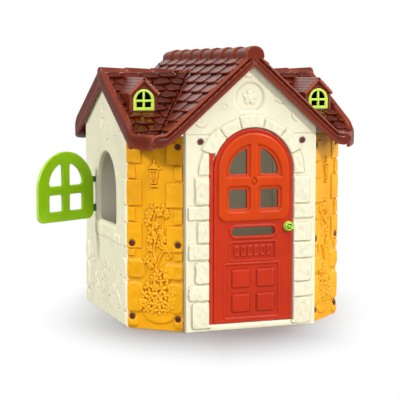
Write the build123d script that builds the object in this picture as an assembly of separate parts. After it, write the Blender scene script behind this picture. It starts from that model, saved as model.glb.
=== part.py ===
# Children's plastic playhouse: an octagonal cottage with four cream walls, four
# orange corner panels, a cross-gabled tiled roof with four dormers, an arched
# door and two arched window shutters.
#
# Frame: origin on the ground at the centre of the footprint, +Z up, the door
# faces -Y, +X is to the right of somebody who looks at the door. Millimetres.

import os
from math import sqrt

from build123d import *

# ---- walls ----------------------------------------------------------------
WALL_X = 555.0            # outer face of the side walls
WALL_Y = 615.0            # outer face of the front and back walls
FRONT_HALF = 334.0        # half width of the front and back walls
SIDE_HALF = 390.0         # half width of the side walls
SKIN = 4.0                # thickness of every moulded skin
WALL_DEPTH = 34.0         # depth of the turned edges of a wall
SILL_Z = 470.0            # bottom of the window openings
CLEAR = 0.3               # gap between neighbouring mouldings

# ---- corner panels ----------------------------------------------------------
PANEL_DEPTH = 18.0
PANEL_TOP = 930.0
SCREW_Z = (60.0, 415.0, 880.0)
SCREW_INSET = 27.0        # from the panel's edges to the screw columns
SCREW_SHANK_R = 6.0
SCREW_HEAD_R = 15.0
SCREW_HEAD_H = 6.0
BOSS_R = 11.0
WALL_SCREW_X = 260.0
WALL_SCREW_Z = 906.0

# ---- roof -------------------------------------------------------------------
MAIN_APEX = 1330.0        # main ridge line of the tile deck, height
MAIN_SLOPE = 0.90         # fall of the main deck for each unit along X
WING_APEX = 1240.0        # wing ridge line of the tile deck
WING_SLOPE = 0.55         # fall of the wing deck for each unit along Y
DECK = 5.0                # thickness of the roof skin
RAKE_Y = 652.0            # front plane of the main bargeboards
RAKE_X = 585.0            # outer plane of the wing bargeboards
RAKE_THICK = 18.0
MAIN_RAKE_DROP = 70.0     # height of the main bargeboards
WING_RAKE_DROP = 72.0
WING_RIM = 30.0           # a wing bargeboard's foot stands this far above the deck
CORNER_Y = 524.0          # where a wing bargeboard meets the corner fascia
FASCIA_BOTTOM = 858.0
FASCIA_THICK = 10.0
MAIN_CAP_R = 47.0
MAIN_CAP_Z = 1307.0
WING_CAP_R = 38.0
WING_CAP_Z = 1219.0

# ---- dormers ----------------------------------------------------------------
DORMER_X = 459.0
DORMER_FRONT = 360.0
DORMER_HALF = 70.0
DORMER_EAVE = 1136.0
DORMER_PEAK = 1200.0
DORMER_SKIN = 8.0
LITE_HALF = 52.0          # half width of the dormer window frame
LITE_BASE = 1046.0
LITE_SPRING = 1096.0
LITE_BORDER = 11.0
LITE_BAR = 8.0

# ---- door -------------------------------------------------------------------
DOOR_CX = 10.75           # centre line of the door's arch
DOOR_R = 202.75
DOOR_SPRING = 762.0
DOOR_BOTTOM = 34.0
DOOR_THICK = 20.0
DOOR_AXIS_X = -204.0
DOOR_AXIS_Y = -600.0
BARREL_R = 11.5
BARREL_TOP = 799.0
THRESHOLD = 30.0
JAMB_X = 217.0
NOTCH_TOP = 850.0
STOP_WIDTH = 12.0         # ledge that stops the closed leaf
HINGE_PIN_R = 5.0
PIN_PLAY = 0.05
FRAME_R = 181.0           # orange window frame on the door
FRAME_BOTTOM = 523.0
FRAME_THICK = 8.0
PANE_INNER = 35.0         # from the arch's centre line to the panes
PANE_OUTER = 127.0
PANE_LOW = (584.0, 674.0)
PANE_HIGH_BASE = 748.0
SLOT_HALF = 110.0
SLOT_Z = (450.0, 491.0)
KNOB_X = 191.0
KNOB_Z = 489.0
SPINDLE_R = 7.0
POINTER_TURN = -22.0      # from horizontal
FRAME_SCREW_R = 2.5

# ---- shutters ---------------------------------------------------------------
WINDOW_Y = -6.0           # centre line of the side windows
WINDOW_R = 186.0
WINDOW_SPRING = 642.0
SHUTTER_AXIS_X = 573.0
SHUTTER_AXIS_Y = 186.0
SHUTTER_WIDTH = 382.0
SHUTTER_BOTTOM = 472.0
SHUTTER_TOP = 828.0
SHUTTER_THICK = 18.0
SHUTTER_OPEN = 61.0       # the left shutter stands open by this angle
SHUTTER_BARREL_R = 9.0
SHUTTER_PIN_R = 4.0
BRACKET_Z = ((508.0, 545.0), (660.0, 690.0))

# ---- back hatch -------------------------------------------------------------
HATCH_R = 290.0
HATCH_SPRING = 605.0

FRONT_PLANE = Plane(origin=(0, 0, 0), x_dir=(1, 0, 0), z_dir=(0, -1, 0))
SIDE_PLANE = Plane(origin=(0, 0, 0), x_dir=(0, -1, 0), z_dir=(-1, 0, 0))


# ---- building blocks ----------------------------------------------------------
def polygon(points):
    return make_face(Polyline(*points, close=True))


def facing_front(sketch, y_front, y_back):
    """Extrude an (x, z) sketch between two planes of constant y."""
    return extrude(FRONT_PLANE.offset(-y_back) * sketch, y_back - y_front)


def facing_left(sketch, x_out, x_in):
    """Extrude a (-y, z) sketch between two planes of constant x, x_out < x_in."""
    return extrude(SIDE_PLANE.offset(-x_in) * sketch, x_in - x_out)


def box(x0, x1, y0, y1, z0, z1):
    size = Box(x1 - x0, y1 - y0, z1 - z0)
    return Pos((x0 + x1) / 2, (y0 + y1) / 2, (z0 + z1) / 2) * size


def upright(x, y, z0, z1, radius):
    return Pos(x, y, (z0 + z1) / 2) * Cylinder(radius, z1 - z0)


def upper_disc(centre, spring, radius):
    """Upper part of a disc, down to a little below its centre line."""
    keep = Pos(centre, spring + radius / 2) * Rectangle(2 * radius + 2, radius + 2)
    return Pos(centre, spring) * Circle(radius) & keep


def arch(centre, half, base, spring):
    """Round-headed opening in a sketch plane."""
    body = Pos(centre, (base + spring) / 2) * Rectangle(2 * half, spring - base)
    return body + upper_disc(centre, spring, half)


def mirrored_x(shape):
    return mirror(shape, about=Plane.YZ)


def mirrored_y(shape):
    return mirror(shape, about=Plane.XZ)


def main_deck_z(x):
    return MAIN_APEX - MAIN_SLOPE * abs(x)


def wing_deck_z(y):
    return WING_APEX - WING_SLOPE * abs(y)


def valley_x(y):
    """Distance from the centre line to the valley between wing and main roof."""
    return (MAIN_APEX - WING_APEX + WING_SLOPE * abs(y)) / MAIN_SLOPE


MAIN_DROP = DECK * sqrt(1 + MAIN_SLOPE**2)
WING_DROP = DECK * sqrt(1 + WING_SLOPE**2)
CORNER_X = valley_x(RAKE_Y)               # the valley ends at the corner fascia


# ---- walls ----------------------------------------------------------------------
def front_outline(inset):
    half = FRONT_HALF - inset
    apex = MAIN_APEX - MAIN_DROP - 0.5 - inset * sqrt(1 + MAIN_SLOPE**2)
    return polygon([(-half, inset), (half, inset), (half, apex - MAIN_SLOPE * half),
                    (0, apex), (-half, apex - MAIN_SLOPE * half)])


def side_outline(inset):
    half = SIDE_HALF - inset
    apex = WING_APEX - WING_DROP - 0.5 - inset * sqrt(1 + WING_SLOPE**2)
    return polygon([(-half, inset), (half, inset), (half, apex - WING_SLOPE * half),
                    (0, apex), (-half, apex - WING_SLOPE * half)])


def door_opening(grow):
    jamb = JAMB_X + grow
    post = Pos(0, (THRESHOLD - grow + DOOR_SPRING) / 2)
    post *= Rectangle(2 * jamb, DOOR_SPRING - THRESHOLD + grow)
    radius = DOOR_R + 4.75
    head = upper_disc(JAMB_X - radius, DOOR_SPRING, radius + grow)
    notch = Pos(-(jamb + 188 - grow) / 2, (DOOR_SPRING + NOTCH_TOP + grow) / 2)
    notch *= Rectangle(jamb - 188 + grow, NOTCH_TOP + grow - DOOR_SPRING + 40)
    return post + head + notch


def hatch_opening(grow):
    return arch(0, HATCH_R + grow, SILL_Z - 8 - grow, HATCH_SPRING)


def window_opening(grow):
    return arch(-WINDOW_Y, WINDOW_R + grow, SILL_Z - grow, WINDOW_SPRING)


def wall_shell(outline, opening, extrude_to):
    """A skin with turned edges all round and around its opening."""
    solid = extrude_to(outline(0) - opening(0), 0, WALL_DEPTH)
    hollow = extrude_to(outline(SKIN) - opening(SKIN), SKIN, WALL_DEPTH)
    return solid - hollow


def front_type_wall(opening):
    def slab(sketch, start, end):
        return facing_front(sketch, -WALL_Y + start, -WALL_Y + end)

    wall = wall_shell(front_outline, opening, slab)
    for side in (-1, 1):
        spot = Pos(side * WALL_SCREW_X, WALL_SCREW_Z)
        wall += slab(spot * Circle(BOSS_R), SKIN / 2, WALL_DEPTH)
        wall -= slab(spot * Circle(SCREW_SHANK_R + CLEAR), -1, WALL_DEPTH + 1)
    return wall


def front_wall():
    """The doorway has a socket for the lower hinge pin and a ledge behind the leaf."""
    wall = front_type_wall(door_opening)
    wall += upright(DOOR_AXIS_X, DOOR_AXIS_Y, 0, THRESHOLD, BARREL_R + 1)
    wall -= upright(DOOR_AXIS_X, DOOR_AXIS_Y, SKIN, THRESHOLD + 1, HINGE_PIN_R)
    leaf_back = DOOR_AXIS_Y + DOOR_THICK / 2
    return wall + box(JAMB_X - STOP_WIDTH, JAMB_X + SKIN / 2, leaf_back + 0.5,
                      WALL_DEPTH - WALL_Y - 1, THRESHOLD - SKIN / 2, DOOR_SPRING - 20)


def panel_line():
    """Plan ends of the front left panel's outer face, its direction and inward normal."""
    start = Vector(-WALL_X, -SIDE_HALF)
    end = Vector(-FRONT_HALF, -WALL_Y + WALL_DEPTH)
    along = (end - start).normalized()
    inward = Vector(-along.Y, along.X)
    return start, end, along, inward


def corner_strip(depth_out, depth_in, x_limit, y_limit, z0, z1):
    """A strip parallel to the front left panel, cut by a plane of x and one of y."""
    start, end, along, inward = panel_line()
    corners = []
    for depth in (depth_out, depth_in):
        base = start + inward * depth
        at_y = base + along * ((y_limit - base.Y) / along.Y)
        at_x = base + along * ((x_limit - base.X) / along.X)
        corners.append((at_y, at_x))
    plan = polygon([(p.X, p.Y) for p in (*corners[0], *reversed(corners[1]))])
    return extrude(Pos(0, 0, z0) * plan, z1 - z0)


def panel_screw_places():
    """Point and direction of each screw of the front left panel."""
    start, end, along, inward = panel_line()
    length = (end - start).length
    for along_by in (SCREW_INSET, length - SCREW_INSET):
        for z in SCREW_Z:
            point = start + along * along_by
            yield Plane(origin=(point.X, point.Y, z), x_dir=(along.X, along.Y, 0),
                        z_dir=(-inward.X, -inward.Y, 0))


def corner_panel():
    panel = corner_strip(0, PANEL_DEPTH, -FRONT_HALF - CLEAR, -SIDE_HALF - CLEAR,
                         0, PANEL_TOP)
    pocket = corner_strip(SKIN, PANEL_DEPTH + 1, -FRONT_HALF - 12, -SIDE_HALF - 12,
                          SKIN, PANEL_TOP - SKIN)
    envelope = panel
    panel -= pocket
    for place in panel_screw_places():
        boss = extrude(place.offset(-PANEL_DEPTH) * Circle(BOSS_R), PANEL_DEPTH - SKIN / 2)
        panel += boss & envelope
        panel -= extrude(place.offset(-PANEL_DEPTH - 2) * Circle(SCREW_SHANK_R + CLEAR),
                         PANEL_DEPTH + 4)
    return panel


def side_wall():
    """Left wall, with a backing wing behind each of its two corner panels."""
    def slab(sketch, start, end):
        return facing_left(sketch, -WALL_X + start, -WALL_X + end)

    wall = wall_shell(side_outline, window_opening, slab)
    wing = corner_strip(PANEL_DEPTH + CLEAR, PANEL_DEPTH + CLEAR + SKIN,
                        -FRONT_HALF + 4, -SIDE_HALF + 3, 0, PANEL_TOP)
    wall += wing + mirrored_y(wing)
    for place in panel_screw_places():
        hole = extrude(place.offset(-PANEL_DEPTH - 30) * Circle(SCREW_SHANK_R + CLEAR), 33)
        wall -= hole
        wall -= mirrored_y(hole)
    return wall


def screw(place, length):
    """Cross-slotted plastic bolt: the place's normal points out of the wall."""
    head = Cylinder(SCREW_HEAD_R, SCREW_HEAD_H)
    head = fillet(head.edges().group_by(Axis.Z)[-1], 3.5)
    head = Pos(0, 0, SCREW_HEAD_H / 2 + CLEAR) * head
    for turn in (0, 90):
        slot = Rot(0, 0, turn) * Box(17, 3.2, 5)
        head -= Pos(0, 0, SCREW_HEAD_H + CLEAR) * slot
    shank = Pos(0, 0, CLEAR - length / 2) * Cylinder(SCREW_SHANK_R, length)
    return place * (head + shank)


def panel_screws():
    return [screw(place, PANEL_DEPTH + 20) for place in panel_screw_places()]


def wall_screws():
    places = [Plane(origin=(side * WALL_SCREW_X, -WALL_Y, WALL_SCREW_Z), x_dir=(1, 0, 0),
                    z_dir=(0, -1, 0)) for side in (-1, 1)]
    return [screw(place, WALL_DEPTH + 8) for place in places]


# ---- roof ------------------------------------------------------------------------
def under_main(rise):
    """Everything below the main deck, raised by rise."""
    reach = 700.0
    points = [(-reach, 0), (reach, 0), (reach, main_deck_z(reach) + rise),
              (0, MAIN_APEX + rise), (-reach, main_deck_z(reach) + rise)]
    return facing_front(polygon(points), -900, 900)


def under_wing(rise):
    reach = 750.0
    points = [(-reach, 0), (reach, 0), (reach, wing_deck_z(reach) + rise),
              (0, WING_APEX + rise), (-reach, wing_deck_z(reach) + rise)]
    return facing_left(polygon(points), -900, 0)


def main_half():
    """Left half of the main roof without its ridge caps."""
    gap = CLEAR / 2
    ridge_z = main_deck_z(gap)
    foot_z = main_deck_z(CORNER_X)
    plan = polygon([(-gap, -RAKE_Y), (-CORNER_X, -RAKE_Y), (gap - valley_x(0), 0),
                    (-CORNER_X, RAKE_Y), (-gap, RAKE_Y)])
    column = extrude(plan, MAIN_APEX + 50)
    deck = (under_main(0) - under_main(-MAIN_DROP)) & column
    board = facing_front(polygon([(-gap, ridge_z), (-CORNER_X, foot_z),
                                  (-CORNER_X, foot_z - MAIN_RAKE_DROP),
                                  (-gap, ridge_z - MAIN_RAKE_DROP)]),
                         -RAKE_Y, -RAKE_Y + RAKE_THICK) & column
    return deck + board + mirrored_y(board)


def main_roof_left():
    """The left half carries the half-round ridge caps of the main roof."""
    cap = Pos(0, 0, MAIN_CAP_Z) * Rot(90, 0, 0) * Cylinder(MAIN_CAP_R, 2 * RAKE_Y)
    right_side = box(-CLEAR / 2, 200, -900, 900, 0, 1500)
    cap -= under_main(CLEAR) & right_side
    return main_half() + (cap - under_main(-2))


def wing_board():
    """Gable bargeboard of the left wing; its feet stand proud of the deck."""
    foot_z = wing_deck_z(CORNER_Y) + WING_RIM
    foot_low = wing_deck_z(CORNER_Y) - WING_RAKE_DROP
    outline = polygon([(0, WING_APEX + 10), (CORNER_Y, foot_z), (CORNER_Y, foot_low),
                       (0, WING_APEX - WING_RAKE_DROP), (-CORNER_Y, foot_low),
                       (-CORNER_Y, foot_z)])
    return facing_left(outline, -RAKE_X, -RAKE_X + RAKE_THICK)


def corner_fascia():
    """Slanting board between the front left feet of two bargeboards."""
    near_x = CORNER_X + CLEAR
    along = Vector(near_x - RAKE_X, RAKE_Y - CORNER_Y).normalized() * FASCIA_THICK
    plan = polygon([(-near_x, -RAKE_Y), (-RAKE_X, -CORNER_Y),
                    (-RAKE_X + along.Y, -CORNER_Y - along.X),
                    (-near_x + along.Y, -RAKE_Y - along.X)])
    return extrude(Pos(0, 0, FASCIA_BOTTOM) * plan, 200)


def wing_cap():
    """Half-round ridge cap that butts against the main roof."""
    length = RAKE_X - 60
    cap = Pos(-RAKE_X + length / 2, 0, WING_CAP_Z) * Rot(0, 90, 0)
    cap *= Cylinder(WING_CAP_R, length)
    return cap - under_wing(0) - under_main(CLEAR)


def wing_roof():
    """Left wing with ridge cap, bargeboard, corner fascias and two dormers."""
    gap = CLEAR
    plan = polygon([(-valley_x(0) - gap, 0), (-CORNER_X - gap, -RAKE_Y), (-RAKE_X, -CORNER_Y),
                    (-RAKE_X, CORNER_Y), (-CORNER_X - gap, RAKE_Y)])
    column = extrude(plan, WING_APEX + 50)
    deck = (under_wing(0) - under_wing(-WING_DROP)) & column
    fascia = corner_fascia() & under_wing(0) & column
    shell = deck + (wing_board() & column) + fascia + mirrored_y(fascia)
    outside, inside = dormer()
    for body, hollow in ((outside, inside), (mirrored_y(outside), mirrored_y(inside))):
        shell = shell + body - hollow
    return shell + wing_cap()


def dormer():
    """Solid body and inner hollow of the front dormer of the left wing."""
    def house(shrink, y_front):
        half = DORMER_HALF - shrink
        peak = DORMER_PEAK - 1.35 * shrink
        eave = DORMER_EAVE - 0.35 * shrink
        shape = polygon([(-half, 900), (half, 900), (half, eave), (0, peak), (-half, eave)])
        return facing_front(Pos(-DORMER_X, 0) * shape, y_front, -10)

    eave_over = 9.0
    peak = DORMER_PEAK
    roof_shape = polygon([(0, peak + 9), (DORMER_HALF + eave_over, DORMER_EAVE),
                          (DORMER_HALF + eave_over, DORMER_EAVE - 8), (0, peak - 4),
                          (-DORMER_HALF - eave_over, DORMER_EAVE - 8),
                          (-DORMER_HALF - eave_over, DORMER_EAVE)])
    roof = facing_front(Pos(-DORMER_X, 0) * roof_shape, -DORMER_FRONT - 12, -10)
    outside = (house(0, -DORMER_FRONT) + roof) - under_wing(-WING_DROP / 2)
    hollow = house(DORMER_SKIN, -DORMER_FRONT + DORMER_SKIN) - under_wing(-WING_DROP - 40)
    hollow &= box(-DORMER_X - 60, -DORMER_X + 60, -DORMER_FRONT, -130, 900, 1300)
    hole = facing_front(arch(-DORMER_X, LITE_HALF - 4, LITE_BASE + 4, LITE_SPRING),
                        -DORMER_FRONT - 1, -DORMER_FRONT + DORMER_SKIN + 1)
    return outside, hollow + hole


def dormer_window():
    """Arched window with a cross of glazing bars, in the front dormer of the left wing."""
    front = -DORMER_FRONT - 6
    rim = arch(-DORMER_X, LITE_HALF, LITE_BASE, LITE_SPRING)
    rim -= arch(-DORMER_X, LITE_HALF - LITE_BORDER, LITE_BASE + LITE_BORDER, LITE_SPRING)
    post = Pos(-DORMER_X, (LITE_BASE + LITE_SPRING + LITE_HALF) / 2)
    post *= Rectangle(LITE_BAR, LITE_SPRING + LITE_HALF - LITE_BASE - LITE_BORDER)
    rail = Pos(-DORMER_X, LITE_SPRING - 3) * Rectangle(2 * LITE_HALF - LITE_BORDER, LITE_BAR)
    window = facing_front(rim + post + rail, front, -DORMER_FRONT - CLEAR)
    spigot = arch(-DORMER_X, LITE_HALF - 4 - CLEAR, LITE_BASE + 4 + CLEAR, LITE_SPRING)
    spigot -= arch(-DORMER_X, LITE_HALF - LITE_BORDER, LITE_BASE + LITE_BORDER, LITE_SPRING)
    return window + facing_front(spigot, front + 1, -DORMER_FRONT + DORMER_SKIN)


# ---- door ------------------------------------------------------------------------
def door_panes(grow):
    """The four lights of the door: two square ones under two quarter-round ones."""
    panes = Sketch()
    low = (PANE_LOW[0] - grow, PANE_LOW[1] + grow)
    for side in (-1, 1):
        inner = PANE_INNER - grow
        outer = PANE_OUTER - 1 + grow
        centre = DOOR_CX + side * (inner + outer) / 2
        panes += Pos(centre, (low[0] + low[1]) / 2) * Rectangle(outer - inner, low[1] - low[0])
        head = Pos(DOOR_CX, PANE_HIGH_BASE - grow) * Circle(PANE_OUTER + grow)
        window = Pos(centre, PANE_HIGH_BASE - grow + 75) * Rectangle(outer - inner + 4, 150)
        window &= Pos(DOOR_CX + side * (inner + 100), 800) * Rectangle(200, 400)
        panes += head & window
    return panes


def slot_shape(grow):
    height = SLOT_Z[1] - SLOT_Z[0] + 2 * grow
    centre = (SLOT_Z[0] + SLOT_Z[1]) / 2
    return Pos(DOOR_CX, centre) * SlotOverall(2 * (SLOT_HALF + grow), height)


def door_leaf():
    front = DOOR_AXIS_Y - DOOR_THICK / 2
    back = DOOR_AXIS_Y + DOOR_THICK / 2
    left = DOOR_CX - DOOR_R
    right = DOOR_CX + DOOR_R
    outline = Pos((left + right) / 2, (DOOR_BOTTOM + DOOR_SPRING) / 2)
    outline *= Rectangle(right - left, DOOR_SPRING - DOOR_BOTTOM)
    outline += upper_disc(DOOR_CX, DOOR_SPRING, DOOR_R)
    web = Pos(DOOR_AXIS_X + 12, (DOOR_BOTTOM + BARREL_TOP) / 2)
    web *= Rectangle(24, BARREL_TOP - DOOR_BOTTOM)
    cut = door_panes(2) + slot_shape(0)
    leaf = facing_front(outline + web - cut, front, back)
    leaf += upright(DOOR_AXIS_X, DOOR_AXIS_Y, DOOR_BOTTOM, BARREL_TOP, BARREL_R)
    leaf -= upright(DOOR_AXIS_X, DOOR_AXIS_Y, DOOR_BOTTOM - 1, DOOR_BOTTOM + 30,
                    HINGE_PIN_R + PIN_PLAY)
    leaf -= upright(DOOR_AXIS_X, DOOR_AXIS_Y, BARREL_TOP - 30, BARREL_TOP + 1,
                    HINGE_PIN_R + PIN_PLAY)
    spindle_hole = Pos(KNOB_X, KNOB_Z) * Circle(SPINDLE_R + PIN_PLAY)
    leaf -= facing_front(spindle_hole, front - 1, back + 1)
    for fixing in door_frame_screws():
        leaf -= fixing
    return leaf


def door_window_frame():
    """Orange frame of the four lights, screwed on the front of the leaf."""
    front = DOOR_AXIS_Y - DOOR_THICK / 2
    corner = 45.0
    foot = Pos(DOOR_CX, FRAME_BOTTOM + corner)
    foot *= RectangleRounded(2 * FRAME_R, 2 * corner, corner - 1)
    trunk = Pos(DOOR_CX, (FRAME_BOTTOM + corner + DOOR_SPRING) / 2)
    trunk *= Rectangle(2 * FRAME_R, DOOR_SPRING - FRAME_BOTTOM - corner)
    shape = foot + trunk + upper_disc(DOOR_CX, DOOR_SPRING, FRAME_R)
    frame = facing_front(shape - door_panes(0), front - FRAME_THICK, front - 0.05)
    for fixing in door_frame_screws():
        frame -= fixing
    return frame


def door_hinge_block():
    """Block in the notch of the doorway that holds the upper hinge pin."""
    low = BARREL_TOP + 1
    high = NOTCH_TOP - 1
    block = box(DOOR_AXIS_X - 12.5, DOOR_AXIS_X + 9, DOOR_AXIS_Y - 12, DOOR_AXIS_Y + 11,
                low, high)
    block = fillet(block.edges().filter_by(Axis.Z), 3)
    return block - upright(DOOR_AXIS_X, DOOR_AXIS_Y, low - 1, high + 1, HINGE_PIN_R)


def door_hinge_pin_upper():
    return upright(DOOR_AXIS_X, DOOR_AXIS_Y, BARREL_TOP - 28, NOTCH_TOP - 5, HINGE_PIN_R)


def door_hinge_pin_lower():
    return upright(DOOR_AXIS_X, DOOR_AXIS_Y, SKIN + 1, DOOR_BOTTOM + 28, HINGE_PIN_R)


def door_frame_screws():
    """Screws through the leaf from behind that hold the window frame."""
    back = DOOR_AXIS_Y + DOOR_THICK / 2
    places = [(side * 153, z) for side in (-1, 1) for z in (575, 700)]
    places += [(side * 108, 875) for side in (-1, 1)]
    found = []
    for x, z in places:
        spot = Pos(DOOR_CX + x, z)
        head = facing_front(spot * Circle(5), back + 0.1, back + 3)
        shank = facing_front(spot * Circle(FRAME_SCREW_R), back - DOOR_THICK - 5, back + 1)
        found.append(head + shank)
    return found


def door_knob():
    """Round outer knob with a pointer ridge."""
    front = DOOR_AXIS_Y - DOOR_THICK / 2 - CLEAR
    place = Plane(origin=(KNOB_X, front, KNOB_Z), x_dir=(1, 0, 0), z_dir=(0, -1, 0))
    flange = Pos(0, 0, 2.5) * Cylinder(24, 5)
    flange = fillet(flange.edges().group_by(Axis.Z)[-1], 2)
    grip = Pos(0, 0, 12) * Cylinder(20, 18)
    grip = fillet(grip.edges().group_by(Axis.Z)[-1], 6)
    pointer = Pos(13.5, 0, 19) * Box(27, 7, 6)
    pointer = fillet(pointer.edges().filter_by(Axis.X), 2)
    bore = Pos(0, 0, 6) * Cylinder(SPINDLE_R, 14)
    return place * (flange + grip + Rot(0, 0, POINTER_TURN) * pointer - bore)


def latch_lever():
    """Inner lever: its tongue hangs down, and turns up behind the door jamb."""
    back = DOOR_AXIS_Y + DOOR_THICK / 2 + CLEAR
    place = Plane(origin=(KNOB_X, back, KNOB_Z), x_dir=(1, 0, 0), z_dir=(0, 1, 0))
    collar = Pos(0, 0, 10) * Cylinder(12.5, 20)
    tongue = Pos(0, -20, 15.5) * Box(16, 44, 7)
    tongue = fillet(tongue.edges().filter_by(Axis.Z), 5)
    grip = Pos(0, 0, 25) * Box(8, 34, 14)
    grip = fillet(grip.edges().filter_by(Axis.X), 5)
    bore = Pos(0, 0, 4) * Cylinder(SPINDLE_R, 18)
    hole = Pos(0, 0, 20) * Cylinder(FRAME_SCREW_R, 40)
    return place * (collar + tongue + grip - bore - hole)


def knob_spindle():
    half = DOOR_THICK / 2 + CLEAR
    spindle = facing_front(Pos(KNOB_X, KNOB_Z) * Circle(SPINDLE_R), DOOR_AXIS_Y - half - 12.5,
                           DOOR_AXIS_Y + half + 12.5)
    thread = facing_front(Pos(KNOB_X, KNOB_Z) * Circle(FRAME_SCREW_R), DOOR_AXIS_Y - 5,
                          DOOR_AXIS_Y + half + 13)
    return spindle - thread


def latch_screw():
    """Screw that clamps the lever on the spindle."""
    back = DOOR_AXIS_Y + DOOR_THICK / 2 + CLEAR
    spot = Pos(KNOB_X, KNOB_Z)
    shank = facing_front(spot * Circle(FRAME_SCREW_R), DOOR_AXIS_Y - 4, back + 33)
    return shank + facing_front(spot * Circle(5), back + 32.1, back + 35)


# ---- shutters ----------------------------------------------------------------------
def shutter_panes():
    centre = SHUTTER_WIDTH / 2
    panes = Sketch()
    for side in (-1, 1):
        middle = centre + side * 69
        panes += Pos(middle, 567) * Rectangle(88, 84)
        head = Pos(centre, 655) * Circle(116)
        panes += head & (Pos(middle, 715) * Rectangle(88, 120))
    return panes


def shutter_closed():
    """Left shutter as it lies over its window; sketch x runs from the hinge forwards."""
    width = SHUTTER_WIDTH
    radius = width / 2
    corner = 40.0
    spring = SHUTTER_TOP - radius
    shape = upper_disc(radius, spring, radius)
    shape += Pos(radius, (SHUTTER_BOTTOM + corner + spring) / 2) * Rectangle(
        width, spring - SHUTTER_BOTTOM - corner)
    shape += Pos(radius, SHUTTER_BOTTOM + corner) * RectangleRounded(
        width, 2 * corner, corner - 0.5)
    shape -= shutter_panes()
    place = Pos(-SHUTTER_AXIS_Y, 0)
    half = SHUTTER_THICK / 2
    leaf = facing_left(place * shape, -SHUTTER_AXIS_X - half, -SHUTTER_AXIS_X + half)
    for low, high in BRACKET_Z:
        leaf -= box(-SHUTTER_AXIS_X - 20, -SHUTTER_AXIS_X + 20,
                    SHUTTER_AXIS_Y - 15, SHUTTER_AXIS_Y + 20, low - 2, high + 2)
    barrel_z = (BRACKET_Z[0][1] + 2, BRACKET_Z[1][0] - 2)
    leaf += upright(-SHUTTER_AXIS_X, SHUTTER_AXIS_Y, *barrel_z, SHUTTER_BARREL_R)
    leaf -= upright(-SHUTTER_AXIS_X, SHUTTER_AXIS_Y, barrel_z[0] - 1, barrel_z[1] + 1,
                    SHUTTER_PIN_R + PIN_PLAY)
    return leaf


def shutter_left():
    axis = Axis((-SHUTTER_AXIS_X, SHUTTER_AXIS_Y, 0), (0, 0, -1))
    return shutter_closed().rotate(axis, SHUTTER_OPEN)


def shutter_brackets():
    """Two lugs on the wall that hold the left shutter's pin."""
    lugs = []
    for low, high in BRACKET_Z:
        eye = upright(-SHUTTER_AXIS_X, SHUTTER_AXIS_Y, low, high, SHUTTER_BARREL_R)
        foot = box(-SHUTTER_AXIS_X, -WALL_X - 0.1, SHUTTER_AXIS_Y - 5, SHUTTER_AXIS_Y + 9,
                   low, high)
        hole = upright(-SHUTTER_AXIS_X, SHUTTER_AXIS_Y, low - 1, high + 1, SHUTTER_PIN_R)
        lugs.append(eye + foot - hole)
    return lugs


def shutter_pin():
    return upright(-SHUTTER_AXIS_X, SHUTTER_AXIS_Y, BRACKET_Z[0][0] + 2, BRACKET_Z[1][1] - 2,
                   SHUTTER_PIN_R)


# ---- all nodes ---------------------------------------------------------------------
def quarter_copies(name, shapes):
    """The front left set and its three mirror images, named by corner."""
    def flip(mirroring):
        return [mirroring(shape) for shape in shapes]

    return {
        name + "_front_left": shapes,
        name + "_front_right": flip(mirrored_x),
        name + "_back_left": flip(mirrored_y),
        name + "_back_right": flip(lambda shape: mirrored_x(mirrored_y(shape))),
    }


def all_nodes():
    nodes = {
        "front_wall": [front_wall()],
        "back_wall": [mirrored_y(front_type_wall(hatch_opening))],
        "left_wall": [side_wall()],
        "main_roof_left": [main_roof_left()],
        "main_roof_right": [mirrored_x(main_half())],
        "wing_roof_left": [wing_roof()],
        "wall_screws_front": wall_screws(),
        "door_leaf": [door_leaf()],
        "door_window_frame": [door_window_frame()],
        "door_hinge_block": [door_hinge_block()],
        "door_hinge_pin_upper": [door_hinge_pin_upper()],
        "door_hinge_pin_lower": [door_hinge_pin_lower()],
        "door_frame_screws": door_frame_screws(),
        "door_knob": [door_knob()],
        "knob_spindle": [knob_spindle()],
        "latch_lever": [latch_lever()],
        "latch_screw": [latch_screw()],
        "shutter_left": [shutter_left()],
        "shutter_right": [mirrored_x(shutter_closed())],
        "shutter_brackets_left": shutter_brackets(),
        "shutter_pin_left": [shutter_pin()],
    }
    nodes["right_wall"] = [mirrored_x(nodes["left_wall"][0])]
    nodes["wing_roof_right"] = [mirrored_x(nodes["wing_roof_left"][0])]
    nodes["wall_screws_back"] = [mirrored_y(s) for s in nodes["wall_screws_front"]]
    nodes["shutter_brackets_right"] = [mirrored_x(s) for s in nodes["shutter_brackets_left"]]
    nodes["shutter_pin_right"] = [mirrored_x(nodes["shutter_pin_left"][0])]
    nodes.update(quarter_copies("corner_panel", [corner_panel()]))
    nodes.update(quarter_copies("panel_screws", panel_screws()))
    nodes.update(quarter_copies("dormer_window", [dormer_window()]))
    return nodes


def solids_of(shapes):
    found = []
    for shape in shapes:
        found.extend(shape.solids())
    return found


os.makedirs("parts", exist_ok=True)
for node, shapes in all_nodes().items():
    solids = solids_of(shapes)
    print(node, len(solids), "solid(s)")
    export_step(solids[0] if len(solids) == 1 else Compound(children=solids),
                os.path.join("parts", node + ".step"))
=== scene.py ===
import math

import bmesh
import bpy
import numpy as np
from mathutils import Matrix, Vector, geometry, kdtree


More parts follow.
